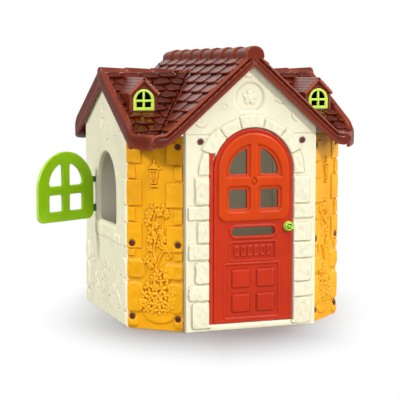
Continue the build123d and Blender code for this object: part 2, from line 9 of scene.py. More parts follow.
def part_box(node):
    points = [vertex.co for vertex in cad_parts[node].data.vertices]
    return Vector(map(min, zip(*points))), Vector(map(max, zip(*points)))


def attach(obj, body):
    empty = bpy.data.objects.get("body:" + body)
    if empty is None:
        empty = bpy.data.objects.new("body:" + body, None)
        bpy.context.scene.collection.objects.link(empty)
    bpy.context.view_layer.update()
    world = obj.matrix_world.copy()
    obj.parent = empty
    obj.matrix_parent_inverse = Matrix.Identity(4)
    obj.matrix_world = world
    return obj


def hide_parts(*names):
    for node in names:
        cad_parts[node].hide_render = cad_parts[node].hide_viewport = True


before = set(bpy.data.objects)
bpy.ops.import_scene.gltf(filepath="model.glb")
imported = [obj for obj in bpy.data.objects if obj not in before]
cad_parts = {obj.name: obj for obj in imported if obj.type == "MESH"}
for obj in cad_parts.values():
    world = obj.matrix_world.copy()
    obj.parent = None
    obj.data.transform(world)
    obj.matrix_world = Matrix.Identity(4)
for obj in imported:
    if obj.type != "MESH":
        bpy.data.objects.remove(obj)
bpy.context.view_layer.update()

# Sizes are in millimetres here; meshes are written in metres.
MM = 0.001
CORNERS = {"front_left": (1, 1), "front_right": (-1, 1),
           "back_left": (1, -1), "back_right": (-1, -1)}


def node_box(name):
    low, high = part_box(name)
    return low / MM, high / MM


# ---- driving sizes, the outer ones from the frame ----
LEFT_WALL = node_box("left_wall")
FRONT_WALL = node_box("front_wall")
PANEL = node_box("corner_panel_front_left")
ROOF = node_box("main_roof_left")
WING = node_box("wing_roof_left")
LEAF = node_box("door_leaf")
DOOR_FRAME = node_box("door_window_frame")

WALL_X = -LEFT_WALL[0].x
WALL_Y = -FRONT_WALL[0].y
FRONT_HALF = FRONT_WALL[1].x
SIDE_HALF = -PANEL[1].y
FRONT_APEX = FRONT_WALL[1].z
SIDE_APEX = LEFT_WALL[1].z
WALL_DEPTH = 34.0
PANEL_TOP = PANEL[1].z
MAIN_SLOPE = 0.90
WING_SLOPE = 0.55
MAIN_APEX = 1330.0
WING_APEX = 1240.0
RAKE_Y = -ROOF[0].y
RAKE_X = -WING[0].x
DOORWAY_HALF = 217.0
DOORWAY_FOOT = 30.0
DOORWAY_R = 207.5
NOTCH_X, NOTCH_TOP = -188.0, 850.0
DOOR_CX = (DOOR_FRAME[0].x + DOOR_FRAME[1].x) / 2
DOOR_R = LEAF[1].x - DOOR_CX
DOOR_SPRING = LEAF[1].z - DOOR_R
DOOR_FACE = 610.0
DOOR_AXIS = (-204.0, -600.0)
KNOB_X, KNOB_Z = 191.0, 489.0
POINTER_TURN = -26.0
SHUTTER_AXIS = (-573.0, 186.0)
SHUTTER_OPEN = math.radians(61)
WINDOW_X, WINDOW_HALF = 6.0, 186.0
WINDOW_BASE, WINDOW_SPRING = 470.0, 642.0
SIDES = (("left", 1), ("right", -1))
ENDS = (("front", 1), ("back", -1))


# ---- small numeric helpers ----
def smooth(x):
    x = np.clip(x, 0.0, 1.0)
    return x * x * (3 - 2 * x)


def ripple(u, v, size, seed):
    """Gentle repeatable unevenness, about -1 to 1, with features of that size."""
    rng = np.random.default_rng(seed)
    total = np.zeros_like(u)
    for _ in range(5):
        angle = rng.uniform(0, 2 * math.pi)
        phase = rng.uniform(0, 2 * math.pi)
        length = size * rng.uniform(0.6, 1.6)
        wave = (u * math.cos(angle) + v * math.sin(angle)) * 2 * math.pi / length
        total += np.sin(wave + phase)
    return total / 3


def box_distance(u, v, u0, u1, v0, v1, corner):
    """Signed distance to a rectangle with rounded corners, negative inside."""
    du = np.abs(u - (u0 + u1) / 2) - (u1 - u0) / 2 + corner
    dv = np.abs(v - (v0 + v1) / 2) - (v1 - v0) / 2 + corner
    outside = np.hypot(np.maximum(du, 0), np.maximum(dv, 0))
    return outside + np.minimum(np.maximum(du, dv), 0) - corner


def segment_distance(u, v, start, end):
    """Distance to a straight stroke, and the share of the way along it."""
    run = np.subtract(end, start)
    share = ((u - start[0]) * run[0] + (v - start[1]) * run[1]) / max(run @ run, 1e-9)
    share = np.clip(share, 0, 1)
    return np.hypot(u - start[0] - share * run[0], v - start[1] - share * run[1]), share


def groove(d, width):
    return np.exp(-(d / width) ** 2)


def arc(cx, cy, radius, start, end, step=5.0):
    count = max(3, int(abs(math.radians(end - start)) * radius / step))
    angles = np.radians(np.linspace(start, end, count + 1))
    return np.c_[cx + radius * np.cos(angles), cy + radius * np.sin(angles)]


def loop_of(*parts):
    """Closed outline from points and point lists, without doubled points."""
    points = np.vstack([np.atleast_2d(part) for part in parts]).astype(float)
    keep = np.linalg.norm(points - np.roll(points, 1, axis=0), axis=1) > 0.2
    return points[keep]


def rounded_box(u0, u1, v0, v1, soft, step=3.0):
    """Outline of a rectangle with rounded corners."""
    return loop_of(arc(u0 + soft, v0 + soft, soft, 180, 270, step),
                   arc(u1 - soft, v0 + soft, soft, 270, 360, step),
                   arc(u1 - soft, v1 - soft, soft, 0, 90, step),
                   arc(u0 + soft, v1 - soft, soft, 90, 180, step))


def arch_outline(cx, half, base, spring, corner=0.0, step=5.0):
    """Outline of a round-headed opening or panel, its feet square or rounded."""
    feet = [(cx - half, base), (cx + half, base)]
    if corner:
        feet = [arc(cx - half + corner, base + corner, corner, 180, 270),
                arc(cx + half - corner, base + corner, corner, 270, 360)]
    return loop_of(*feet, arc(cx, spring, half, 0, 180, step))


def resample(loop, spacing):
    points = []
    for start, end in zip(loop, np.roll(loop, -1, axis=0)):
        count = max(1, int(round(np.linalg.norm(end - start) / spacing)))
        for i in range(count):
            points.append(start + (end - start) * i / count)
    return np.array(points)


def inside(points, loops):
    x, y = points[:, 0], points[:, 1]
    result = np.zeros(len(points), bool)
    for loop in loops:
        for p, q in zip(loop, np.roll(loop, -1, axis=0)):
            if p[1] == q[1]:
                continue
            crossing = (q[0] - p[0]) * (y - p[1]) / (q[1] - p[1]) + p[0]
            result ^= ((p[1] > y) != (q[1] > y)) & (x < crossing)
    return result


def edge_distance(points, loops):
    best = np.full(len(points), 1e9)
    for loop in loops:
        for p, q in zip(loop, np.roll(loop, -1, axis=0)):
            distance, _ = segment_distance(points[:, 0], points[:, 1], p, q)
            best = np.minimum(best, distance)
    return best


def inset(loop, amount, loops):
    """Points moved off the loop to both sides; only those inside are kept later."""
    before = loop - np.roll(loop, 1, axis=0)
    after = np.roll(loop, -1, axis=0) - loop
    along = before / np.linalg.norm(before, axis=1)[:, None]
    along += after / np.linalg.norm(after, axis=1)[:, None]
    along /= np.maximum(np.linalg.norm(along, axis=1)[:, None], 1e-6)
    side = np.c_[-along[:, 1], along[:, 0]] * amount
    both = np.vstack([loop + side, loop - side])
    distance = edge_distance(both, loops)
    return both[inside(both, loops) & (distance > amount * 0.9)]


def away_from(points, others, gap):
    """True for the points that no other point is nearer to than the gap."""
    tree = kdtree.KDTree(len(others))
    for index, (x, y) in enumerate(others):
        tree.insert((x, y, 0), index)
    tree.balance()
    return np.array([tree.find((x, y, 0))[2] > gap for x, y in points])


def triangulate(points, loops):
    """Triangles over the points that lie between the outlines."""
    edges = []
    first = 0
    for loop in loops:
        count = len(loop)
        edges += [(first + i, first + (i + 1) % count) for i in range(count)]
        first += count
    result = geometry.delaunay_2d_cdt([Vector(p) for p in points], edges, [], 0, 1e-5, False)
    verts = np.array([(p.x, p.y) for p in result[0]])
    faces = np.array([face for face in result[2] if len(face) == 3])
    middle = verts[faces].mean(axis=1)
    return verts, faces[inside(middle, loops)], edges


# ---- mesh building ----
class Place:
    """A flat panel's own frame: u across, v up, h outward."""

    def __init__(self, origin, across, up, outward, flip=(1, 1)):
        self.turn = np.array([flip[0], flip[1], 1.0])
        self.origin = np.array(origin, float)
        self.axes = np.array([across, up, outward], float)

    def points(self, u, v, h):
        return (self.origin + np.c_[u, v, h] @ self.axes) * self.turn


def facing_front(y, flip=(1, 1)):
    """Upright panel at that distance in front: u to the right, v up, h to the viewer."""
    return Place((0, -y, 0), (1, 0, 0), (0, 0, 1), (0, -1, 0), flip)


def add_object(name, data):
    obj = bpy.data.objects.new(name, data)
    bpy.context.scene.collection.objects.link(obj)
    return obj


def make_piece(name, verts, faces, material, body="house", stands_for=(), sharp=40.0):
    mesh = bpy.data.meshes.new(name)
    mesh.from_pydata((np.asarray(verts) * MM).tolist(), [], [list(map(int, f)) for f in faces])
    work = bmesh.new()
    work.from_mesh(mesh)
    bmesh.ops.remove_doubles(work, verts=work.verts, dist=1e-6)
    bmesh.ops.recalc_face_normals(work, faces=work.faces)
    work.to_mesh(mesh)
    work.free()
    mesh.shade_smooth()
    mesh.set_sharp_from_angle(angle=math.radians(sharp))
    mesh.materials.append(material)
    obj = add_object(name, mesh)
    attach(obj, body)
    if stands_for:
        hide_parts(*stands_for)
    return obj


def slab_mesh(place, outlines, height, spacing, depth, rim=3.0, two_sided=False,
              extra=None):
    """Closed plate with a modelled face; its edges are rounded by rim."""
    loops = [resample(loop, spacing) for loop in outlines]
    rings = [inset(loop, share * rim, loops) for loop in loops for share in (0.35, 1.0)
             if rim > 0]
    border = np.vstack(loops)
    low, high = border.min(axis=0), border.max(axis=0)
    us = np.arange(low[0] + spacing / 2, high[0], spacing)
    vs = np.arange(low[1] + spacing / 2, high[1], spacing)
    grid = np.stack(np.meshgrid(us, vs), axis=-1).reshape(-1, 2)
    grid = grid[inside(grid, loops)]
    grid = grid[edge_distance(grid, loops) > rim + spacing * 0.45]
    if extra is not None:
        extra = extra[inside(extra, loops)]
        extra = extra[edge_distance(extra, loops) > rim + 1.5]
        grid = grid[away_from(grid, extra, spacing * 0.55)]
        rings.append(extra)
    verts, faces, edges = triangulate(np.vstack([border, *rings, grid]), loops)
    distance = edge_distance(verts, loops)
    near = np.minimum(distance, rim)
    drop = rim - np.sqrt(np.maximum(rim**2 - (rim - near) ** 2, 0)) if rim > 0 else 0.0
    u, v = verts[:, 0], verts[:, 1]
    front = place.points(u, v, height(u, v, distance) - drop)
    if two_sided:
        back = place.points(u, v, drop - depth + 0 * u)
        back_faces = faces
    else:
        plain, back_faces, _ = triangulate(border, loops)
        back = place.points(plain[:, 0], plain[:, 1], np.full(len(plain), -depth))
    shift = len(front)
    sides = [(a, b, b + shift, a + shift) for a, b in edges]
    all_faces = [*faces.tolist(), *(back_faces[:, ::-1] + shift).tolist(), *sides]
    return np.vstack([front, back]), all_faces


def slab(name, place, outlines, height, spacing, depth, material, rim=3.0, two_sided=False,
         body="house", stands_for=(), sharp=40.0):
    verts, faces = slab_mesh(place, outlines, height, spacing, depth, rim, two_sided)
    return make_piece(name, verts, faces, material, body, stands_for, sharp)


def flat(u, v, d):
    return 0 * u


def joined(parts):
    """One vertex and face list from several."""
    verts, faces, shift = [], [], 0
    for part_verts, part_faces in parts:
        verts.append(np.asarray(part_verts, float))
        faces += [[i + shift for i in face] for face in part_faces]
        shift += len(part_verts)
    return np.vstack(verts), faces


def sweep_mesh(rings):
    """Skin over rings of equal point counts, closed at both ends."""
    count = len(rings[0])
    verts = np.vstack(rings)
    faces = []
    for r in range(len(rings) - 1):
        for i in range(count):
            j = (i + 1) % count
            below, above = r * count, (r + 1) * count
            faces.append((below + i, below + j, above + j, above + i))
    faces.append(tuple(range(count))[::-1])
    faces.append(tuple(range((len(rings) - 1) * count, len(rings) * count)))
    return verts, faces


# ---- materials ----
def linear(channel):
    """Linear value of an sRGB channel given in 0 to 255."""
    share = channel / 255
    return share / 12.92 if share <= 0.04045 else ((share + 0.055) / 1.055) ** 2.4


class Net:
    """Short ways to add nodes to the tree of a material or of the world."""

    def __init__(self, owner):
        owner.use_nodes = True
        self.nodes, self.links = owner.node_tree.nodes, owner.node_tree.links

    def fill(self, node, inputs):
        """Give inputs a value, or link them when the value is another node's output."""
        for key, value in inputs.items():
            if isinstance(value, bpy.types.NodeSocket):
                self.links.new(value, node.inputs[key])
            else:
                node.inputs[key].default_value = value

    def add(self, kind, output, inputs=(), **settings):
        """New node; its output of that name is given back."""
        node = self.nodes.new("ShaderNode" + kind)
        for key, value in settings.items():
            setattr(node, key, value)
        self.fill(node, dict(inputs))
        return node.outputs[output]

    def ramp(self, value, low, high, start=0.0, end=1.0, curve="LINEAR"):
        """Start where the value is low, end where it is high."""
        return self.add("MapRange", "Result", interpolation_type=curve, inputs={
            "Value": value, "From Min": low, "From Max": high, "To Min": start, "To Max": end})

    def mix(self, share, first, second):
        return self.add("Mix", "Result", data_type="RGBA",
                        inputs={"Factor": share, "A": first, "B": second})

    def mix_shaders(self, share, first, second):
        return self.add("MixShader", "Shader", inputs={"Fac": share, 1: first, 2: second})

    def math(self, operation, *values):
        return self.add("Math", "Value", dict(enumerate(values)), operation=operation)


# Bands of the edge signal: below the middle it is a hollow, which gets painted shade; above it a
# ridge, which gets paler for wear and painted highlight.
HOLLOW_BAND = (0.44, 0.50)
WEAR_AND_HIGHLIGHT_BAND = (0.51, 0.58)
WEAR_AND_HIGHLIGHT_SHARE = 0.55


def plastic(name, base, shade, edge, roughness=0.42, variation=0.25, grain=0.06, specular=0.5):
    """Moulded plastic: mottled colour, painted shade in hollows, paler edges for wear and painted
    highlight, fine grain.
    """
    base, shade, edge = ((*map(linear, tone), 1.0) for tone in (base, shade, edge))
    material = bpy.data.materials.new(name)
    net = Net(material)
    where = net.add("TexCoord", "Object")
    cloud = net.add("TexNoise", "Fac", {"Vector": where, "Scale": 5.0, "Detail": 4.0})
    fine = net.add("TexNoise", "Fac", {"Vector": where, "Scale": 900.0, "Detail": 3.0})
    bend = net.add("NewGeometry", "Pointiness")
    tone = net.mix(net.ramp(cloud, 0.45, 0.75, 0.0, variation), base, shade)
    # painted shade: hollows take the darker shade colour, standing in for the shade in grooves
    tone = net.mix(net.ramp(bend, *HOLLOW_BAND, 1.0, 0.0), tone, shade)
    # wear and painted highlight: ridges and edges pale towards the edge colour
    tone = net.mix(net.ramp(bend, *WEAR_AND_HIGHLIGHT_BAND, 0.0, WEAR_AND_HIGHLIGHT_SHARE), tone, edge)
    dull = net.ramp(cloud, 0.0, 1.0, roughness - 0.08, roughness + 0.12)
    bump = net.add("Bump", "Normal", {"Height": fine, "Strength": grain, "Distance": 0.002})
    net.fill(net.nodes["Principled BSDF"], {"Base Color": tone, "Roughness": dull,
                                            "Specular IOR Level": specular, "Normal": bump})
    return material


def steel(name):
    """Drawn steel with fine streaks in tone and gloss."""
    material = bpy.data.materials.new(name)
    net = Net(material)
    where = net.add("TexCoord", "Object")
    streak = net.add("TexNoise", "Fac", {"Vector": where, "Scale": 260.0})
    tone = net.mix(streak, (0.42, 0.42, 0.43, 1), (0.62, 0.62, 0.64, 1))
    net.fill(net.nodes["Principled BSDF"], {"Metallic": 1.0, "Base Color": tone,
                                            "Roughness": net.ramp(streak, 0, 1, 0.25, 0.45)})
    return material


CREAM = plastic("cream_moulding", (242, 237, 208), (184, 174, 138),
                (252, 248, 228), roughness=0.5, variation=0.2, specular=0.25)
AMBER = plastic("amber_moulding", (230, 162, 6), (168, 100, 0),
                (246, 184, 56), roughness=0.42, variation=0.3, specular=0.22)
# The pale edge colours of the roof and slate mouldings stand for wear and for painted highlight on
# tile noses and rake edges.
ROOF_RED = plastic("roof_moulding", (106, 31, 8), (30, 5, 1),
                   (172, 88, 60), roughness=0.27, variation=0.5, grain=0.02,
                   specular=0.36)
SLATE_RED = plastic("slate_moulding", (82, 22, 6), (20, 3, 1),
                    (146, 62, 34), roughness=0.16, variation=0.6, grain=0.02,
                    specular=0.24)
DOOR_RED = plastic("door_moulding", (198, 50, 18), (132, 14, 3),
                   (218, 78, 46), roughness=0.36, variation=0.25, specular=0.22)
ORANGE = plastic("door_frame_moulding", (212, 66, 0), (156, 30, 0),
                 (236, 98, 24), roughness=0.32, variation=0.25, specular=0.25)
LIME = plastic("lime_moulding", (184, 224, 64), (126, 176, 26),
               (228, 244, 150), roughness=0.36, variation=0.3)
KNOB_LIME = plastic("knob_moulding", (140, 194, 34), (60, 110, 6),
                    (200, 232, 110), roughness=0.32, variation=0.3)
GREEN = plastic("shutter_moulding", (152, 208, 4), (112, 168, 0),
                (206, 230, 120), roughness=0.38, variation=0.3, specular=0.3)
BRACKET_GREEN = plastic("bracket_moulding", (34, 84, 24), (14, 44, 10),
                        (70, 130, 56), roughness=0.4)
BOLT_BROWN = plastic("bolt_moulding", (84, 30, 22), (34, 8, 6),
                     (150, 84, 70), roughness=0.4)
STEEL = steel("drawn_steel")


# ---- front and back walls ----
JOINT = 2.6
RING_CENTRE = (0.0, 745.0)
RING_INNER = 211.0
RING_OUTER = 286.0
SCORED_LINE = 937.0
BOLT_X, BOLT_Z = 260.0, 906.0


def stones(h, u, v, rows, rise=8.5, ramp=4.0, cut=4.0):
    """Raised uneven blocks given as (u0, u1, v0, v1, corner)."""
    for index, (u0, u1, v0, v1, corner) in enumerate(rows):
        wobble = 1.6 * ripple(u, v, 70, 11 * index + 3)
        d = box_distance(u, v, u0 + 1, u1 - 1, v0 + 1.5, v1 - 1.5, corner) + wobble
        top = rise + 0.9 * ripple(u, v, 60, index + 40)
        h = np.maximum(h, smooth(-d / ramp) * top)
        h = h - cut * groove(d - 1, JOINT) * (d > -2)
    return h


def wedge_ring(h, u, v, centre, inner, joints, radii, rise=7.0, ramp=4.5, cut=2.8):
    """Arch stones between radial joints, each with its own outer radius."""
    du, dv = u - centre[0], v - centre[1]
    radius = np.hypot(du, dv)
    angle = np.degrees(np.arctan2(dv, du))
    for index, outer in enumerate(radii):
        start, end = joints[index + 1], joints[index]
        middle = math.radians((start + end) / 2)
        half = math.radians((end - start) / 2)
        turn = np.abs(np.arctan2(dv, du) - middle)
        across = (turn - half) * radius
        wobble = 1.2 * ripple(u, v, 60, 7 * index + 90)
        d = np.maximum(np.maximum(radius - outer, inner - 14 - radius), across + 1.5) + wobble
        d = np.where(angle < -20, 99.0, d)
        top = rise + 0.8 * ripple(u, v, 50, index + 150)
        h = np.maximum(h, smooth(-d / ramp) * top)
        h = h - cut * groove(d - 1, JOINT) * (d > -2)
    return h


def stone_grain(u, v, h):
    """Chiselled strokes on the faces of raised stones."""
    rng = np.random.default_rng(29)
    strokes = 0.6 * ripple(u, v * 0.3, 15, 77) + 0.4 * ripple(u, v * 0.45, 9, 78)
    for _ in range(60):
        start = rng.uniform((-330, 10), (330, 740))
        end = start + rng.uniform((-9, 12), (9, 34))
        near = (np.abs(u - start[0]) < 40) & (np.abs(v - start[1]) < 60)
        if near.any():
            d, _ = segment_distance(u[near], v[near], start, end)
            strokes[near] -= 1.6 * groove(d, 2.6)
    return strokes * smooth((h - 3) / 3)


# Stones beside the doorway: outer edge, bottom, top, corner radius.
QUOIN_LAP = 16.0
LEFT_QUOINS = [(-291, 606, 737, 7), (-326, 534, 602, 9), (-278, 423, 530, 7),
               (-323, 344, 421, 9), (-290, 231, 336, 20), (-323, 148, 226, 18),
               (-307, 14, 142, 20)]
RIGHT_QUOINS = [(300, 599, 733, 9), (325, 526, 597, 9), (308, 413, 506, 7),
                (325, 332, 413, 9), (312, 217, 332, 22), (325, 142, 217, 20),
                (310, 8, 142, 24)]


def medallion(h, u, v):
    """Sunk round field with a plain five-petalled flower."""
    cx, cz, radius = -12.0, 1110.0, 75.0
    reach = np.hypot(u - cx, v - cz)
    d = np.maximum(reach - radius, 1046 - v)
    h = h - 7.0 * smooth(-d / 6.0)
    h = h - 2.0 * groove(d, 3.0)
    turn = 2.5 * (np.arctan2(v - cz, u - cx) - math.pi / 2)
    petals = 20 + 17 * np.abs(np.cos(turn))
    flower = smooth((petals - reach) / 7.0) * 5.0
    eye = smooth((10 - reach) / 4.0) * 2.5
    veins = 1.2 * groove(np.sin(turn) * reach, 3.0) * (reach < petals)
    return h + flower + eye - veins


def part_circle(h, u, v, cx, cz, radius, start, end, depth=2.4):
    """Edge of a buried round stone, as a fading curved line."""
    angle = np.degrees(np.arctan2(v - cz, u - cx)) % 360
    span = (angle - start) % 360
    fade = smooth(span / 20) * smooth(((end - start) % 360 - span) / 20)
    d = np.hypot(u - cx, v - cz) - radius
    lift = smooth(-d / 8) * smooth((d + 26) / 22)
    return h + fade * (2.6 * lift - depth * groove(d, 2.8)) * (span < (end - start) % 360)


def front_height(u, v, d):
    """Quoins beside the doorway, arch stones over it, medallion, scored lines."""
    h = np.zeros_like(u)
    edge = DOORWAY_HALF - QUOIN_LAP
    rows = [(u0, -edge, v0, v1, corner) for u0, v0, v1, corner in LEFT_QUOINS]
    rows += [(edge, u1, v0, v1, corner) for u1, v0, v1, corner in RIGHT_QUOINS]
    h = stones(h, u, v, rows)
    joints = [180, 155, 127, 104, 76, 51, 25, 0]
    radii = [272, 285, 275, 284, 275, 285, 272]
    h = wedge_ring(h, u, v, RING_CENTRE, RING_INNER, joints, radii)
    beyond = np.hypot(u - RING_CENTRE[0], v - RING_CENTRE[1]) > RING_OUTER
    h = h - 3.6 * groove(v - SCORED_LINE, JOINT) * beyond
    h = medallion(h, u, v)
    for cx, cz, radius, start, end in ((-258, 1000, 30, 190, 350), (236, 1026, 34, 150, 270),
                                       (-20, 1228, 26, 200, 330), (150, 1120, 40, 200, 300),
                                       (-150, 1050, 30, 20, 120)):
        h = part_circle(h, u, v, cx, cz, radius, start, end)
    sill = box_distance(u, v, -DOORWAY_HALF, DOORWAY_HALF, 2, DOORWAY_FOOT - 1, 3)
    h = h + 2.5 * smooth(-sill / 5)
    for side in (-1, 1):
        spot = np.hypot(u - side * BOLT_X, v - BOLT_Z)
        h = h - 2.0 * smooth((20 - spot) / 3)
    return h + 0.35 * ripple(u, v, 90, 5) + stone_grain(u, v, h)


def gable_outline(half, apex, slope):
    """Wall with a level foot and a pointed top."""
    return loop_of((-half, 0), (half, 0), (half, apex - slope * half), (0, apex),
                   (-half, apex - slope * half))


def doorway_outline():
    """Arched opening with a notch for the hinge block at its upper left."""
    cx = DOORWAY_HALF - DOORWAY_R
    turn = 180 - math.degrees(math.acos((cx - NOTCH_X) / DOORWAY_R))
    hinge_side = -DOORWAY_HALF - 1.6
    return loop_of((hinge_side, DOORWAY_FOOT), (DOORWAY_HALF, DOORWAY_FOOT),
                   arc(cx, DOOR_SPRING, DOORWAY_R, 0, turn), (NOTCH_X, NOTCH_TOP),
                   (hinge_side, NOTCH_TOP))


def build_front_wall():
    outlines = [gable_outline(FRONT_HALF, FRONT_APEX, MAIN_SLOPE), doorway_outline()]
    slab("front_wall_moulding", facing_front(WALL_Y), outlines, front_height, 3.8, WALL_DEPTH,
         CREAM, rim=4.0, stands_for=["front_wall"])


def back_height(u, v, d):
    """Staggered quoins and a ring of arch stones round the hatch."""
    h = np.zeros_like(u)
    rows = []
    for side in (-1, 1):
        for index in range(7):
            wide = 316 if index % 2 else 300
            z0 = 30 + 62 * index
            ends = sorted((side * wide, side * 262 if index % 2 else side * 248))
            rows.append((*ends, z0, z0 + 58, 12))
    h = stones(h, u, v, rows)
    joints = [180, 158, 134, 110, 70, 46, 22, 0]
    radii = [326, 334, 326, 336, 326, 334, 326]
    h = wedge_ring(h, u, v, (0, 600), 298, joints, radii)
    for cx, cz, radius, start, end in ((-120, 300, 34, 190, 330), (90, 220, 40, 20, 140),
                                       (150, 370, 30, 180, 300), (-60, 130, 36, 0, 120),
                                       (40, 1080, 40, 200, 330), (-120, 1010, 30, 20, 140)):
        h = part_circle(h, u, v, cx, cz, radius, start, end)
    return h + 0.4 * ripple(u, v, 90, 15)


def build_back_wall():
    place = facing_front(WALL_Y, flip=(1, -1))
    hatch = arch_outline(0, 290, 462, 605)
    outlines = [gable_outline(FRONT_HALF, FRONT_APEX, MAIN_SLOPE), hatch]
    slab("back_wall_moulding", place, outlines, back_height, 6.0, WALL_DEPTH, CREAM,
         rim=4.0, stands_for=["back_wall"])


# ---- side walls ----
SIDE_DEPTH = 26.0
# A corner panel runs from the side wall's edge to the front wall's back.
PANEL_START = np.array([-WALL_X, -SIDE_HALF, 0.0])
PANEL_RUN = np.array([WALL_X - FRONT_HALF, -(WALL_Y - WALL_DEPTH - SIDE_HALF), 0.0])
PANEL_LENGTH = float(np.linalg.norm(PANEL_RUN))
PANEL_ALONG = PANEL_RUN / PANEL_LENGTH
PANEL_OUT = np.array([PANEL_ALONG[1], -PANEL_ALONG[0], 0.0])
PANEL_DEPTH = 18.0


def side_height(u, v, d):
    """Left wall, u runs towards the front: sill stones, jamb, niche and buried stones."""
    h = np.zeros_like(u)
    rows = [(-188, -62, 392, 462, 8), (-58, 86, 396, 462, 8), (90, 200, 392, 462, 8),
            (204, 278, 388, 440, 10)]
    rows += [(308, 386, 240, 340, 26), (316, 386, 78, 232, 28), (330, 386, 8, 72, 14),
             (322, 386, 392, 508, 8), (346, 386, 514, 592, 8), (322, 386, 598, 722, 8)]
    rows += [(-386, -312, 236, 336, 26), (-386, -320, 78, 230, 28), (-386, -332, 8, 72, 14)]
    h = stones(h, u, v, rows, rise=6.5)
    jamb = np.minimum(np.hypot(u - WINDOW_X, v - WINDOW_SPRING) - WINDOW_HALF,
                      box_distance(u, v, WINDOW_X - WINDOW_HALF, WINDOW_X + WINDOW_HALF,
                                   WINDOW_BASE, WINDOW_SPRING, 30))
    bend = 1 - np.sqrt(np.clip(1 - (1 - np.clip(jamb / 15, 0, 1)) ** 2, 0, 1))
    h = h - 12.0 * bend * smooth((v - 462) / 20)
    arch = np.maximum(np.hypot(np.abs(u + 34), np.maximum(v - 1052, 0)) - 30, 1030 - v)
    h = h - 6.0 * smooth(-arch / 4)
    niche = box_distance(u + (v - 948) * 0.08, v, -84, -10, 948, 1001, 6)
    h = h - 6.0 * smooth(-niche / 4)
    h = part_circle(h, u, v, -20, 960, 96, 300, 30)
    rng = np.random.default_rng(8)
    spots = [(-237, 270, 40, 200, 330), (125, 240, 46, 290, 60), (-264, 140, 34, 210, 340),
             (-131, 150, 44, 200, 330), (41, 160, 46, 290, 40), (183, 136, 40, 300, 70)]
    for _ in range(22):
        spots.append((rng.uniform(-330, 290), rng.uniform(50, 370), rng.uniform(26, 46),
                      rng.uniform(180, 300), rng.uniform(20, 80)))
    for _ in range(6):
        spots.append((rng.uniform(-300, 300), rng.uniform(850, 1010), rng.uniform(22, 36),
                      rng.uniform(150, 250), rng.uniform(290, 350)))
    for cx, cz, radius, start, end in spots:
        h = part_circle(h, u, v, cx, cz, radius, start, end, depth=4.2)
    return h + 0.4 * ripple(u, v, 80, 21) + 0.5 * smooth((380 - v) / 40) * ripple(u, v, 34, 22)


def backing_strip(flip):
    """Inner wing of a side wall, a slim board behind a corner panel."""
    behind = PANEL_DEPTH + 0.3
    start, end = 20, PANEL_LENGTH + 12
    place = Place(PANEL_START - PANEL_OUT * behind, PANEL_ALONG, (0, 0, 1), PANEL_OUT, flip)
    outline = loop_of((start, 0), (end, 0), (end, PANEL_TOP), (start, PANEL_TOP))
    return slab_mesh(place, [outline], lambda u, v, d: 0.5 * ripple(u, v, 80, 4), 40.0, 4.0,
                     rim=0.0)


def build_side_walls():
    for name, flip_x in SIDES:
        place = Place((-WALL_X, 0, 0), (0, -1, 0), (0, 0, 1), (-1, 0, 0), flip=(flip_x, 1))
        window = arch_outline(WINDOW_X, WINDOW_HALF, WINDOW_BASE, WINDOW_SPRING, corner=30.0)
        outlines = [gable_outline(SIDE_HALF, SIDE_APEX, WING_SLOPE), window]
        spacing = 4.2 if flip_x > 0 else 5.0
        wall = slab_mesh(place, outlines, side_height, spacing, SIDE_DEPTH, rim=4.0)
        parts = [wall, backing_strip((flip_x, 1)), backing_strip((flip_x, -1))]
        make_piece(name + "_wall_moulding", *joined(parts), CREAM,
                   stands_for=[name + "_wall"])


# ---- corner panels ----
BOLT_INSET = 27.0
BOLT_ROWS = (60, 415, 880)


def wavy_edge(side):
    """Edge of a corner panel: it steps in beside the short bricks and between stones."""
    stops = [(0, 5), (14, 1), (66, 1), (78, 4), (90, 1), (226, 1), (240, 5), (252, 1),
             (334, 1), (347, 4), (351, 4), (387, 4), (390, 0), (514, 0), (517, 4),
             (592, 4), (595, 0), (721, 0), (724, 4), (796, 4), (799, 0), (PANEL_TOP, 0)]
    if side > 0:
        return [(PANEL_LENGTH - 0.5 - inset_by, z) for z, inset_by in stops]
    return [(0.5 + inset_by, z) for z, inset_by in reversed(stops)]


def lantern(u, v):
    """Carriage lamp in relief: roof cone, glass body with bars, foot and bracket."""
    cx, foot_z, eave_z, top_z = 142.0, 700, 770, 800
    share = (v - eave_z) / (top_z - eave_z)
    cone = np.maximum(np.abs(u - cx) - 33 * (1 - share) - 3, np.maximum(eave_z - v, v - top_z))
    h = 9 * smooth(-cone / 5)
    half = 14 + 12 * (v - foot_z) / (eave_z - 2 - foot_z)
    body = np.maximum(np.abs(u - cx) - half, np.maximum(foot_z - v, v - eave_z))
    h = np.maximum(h, 8 * smooth(-body / 4))
    glass = np.maximum(np.abs(u - cx) - half + 7,
                       np.maximum(foot_z + 6 - v, v - eave_z + 8))
    h = h - 5.5 * smooth(-glass / 3)
    flame = np.hypot((u - cx) / 0.55, (v - 728) / 1.5) - 9
    h = h + 4.5 * smooth(-flame / 5)
    foot = box_distance(u, v, cx - 17, cx + 19, 684, 698, 4)
    h = np.maximum(h, 9 * smooth(-foot / 4))
    h = stroke(h, u, v, [(cx, 798), (cx, 814)], 6, 7)
    return stroke(h, u, v, [(cx + 24, 772), (cx + 38, 778)], 6, 6)


def dome(h, u, v, cx, cz, radius, rise, squash=1.0, turn=0.0):
    """Rounded lobe; squash below 1 makes it an oval that points along turn."""
    du, dv = u - cx, v - cz
    along = du * math.cos(turn) + dv * math.sin(turn)
    across = (dv * math.cos(turn) - du * math.sin(turn)) / squash
    share = np.hypot(along, across) / radius
    return np.maximum(h, rise * np.sqrt(np.clip(1 - share**2, 0, 1)) ** 1.2)


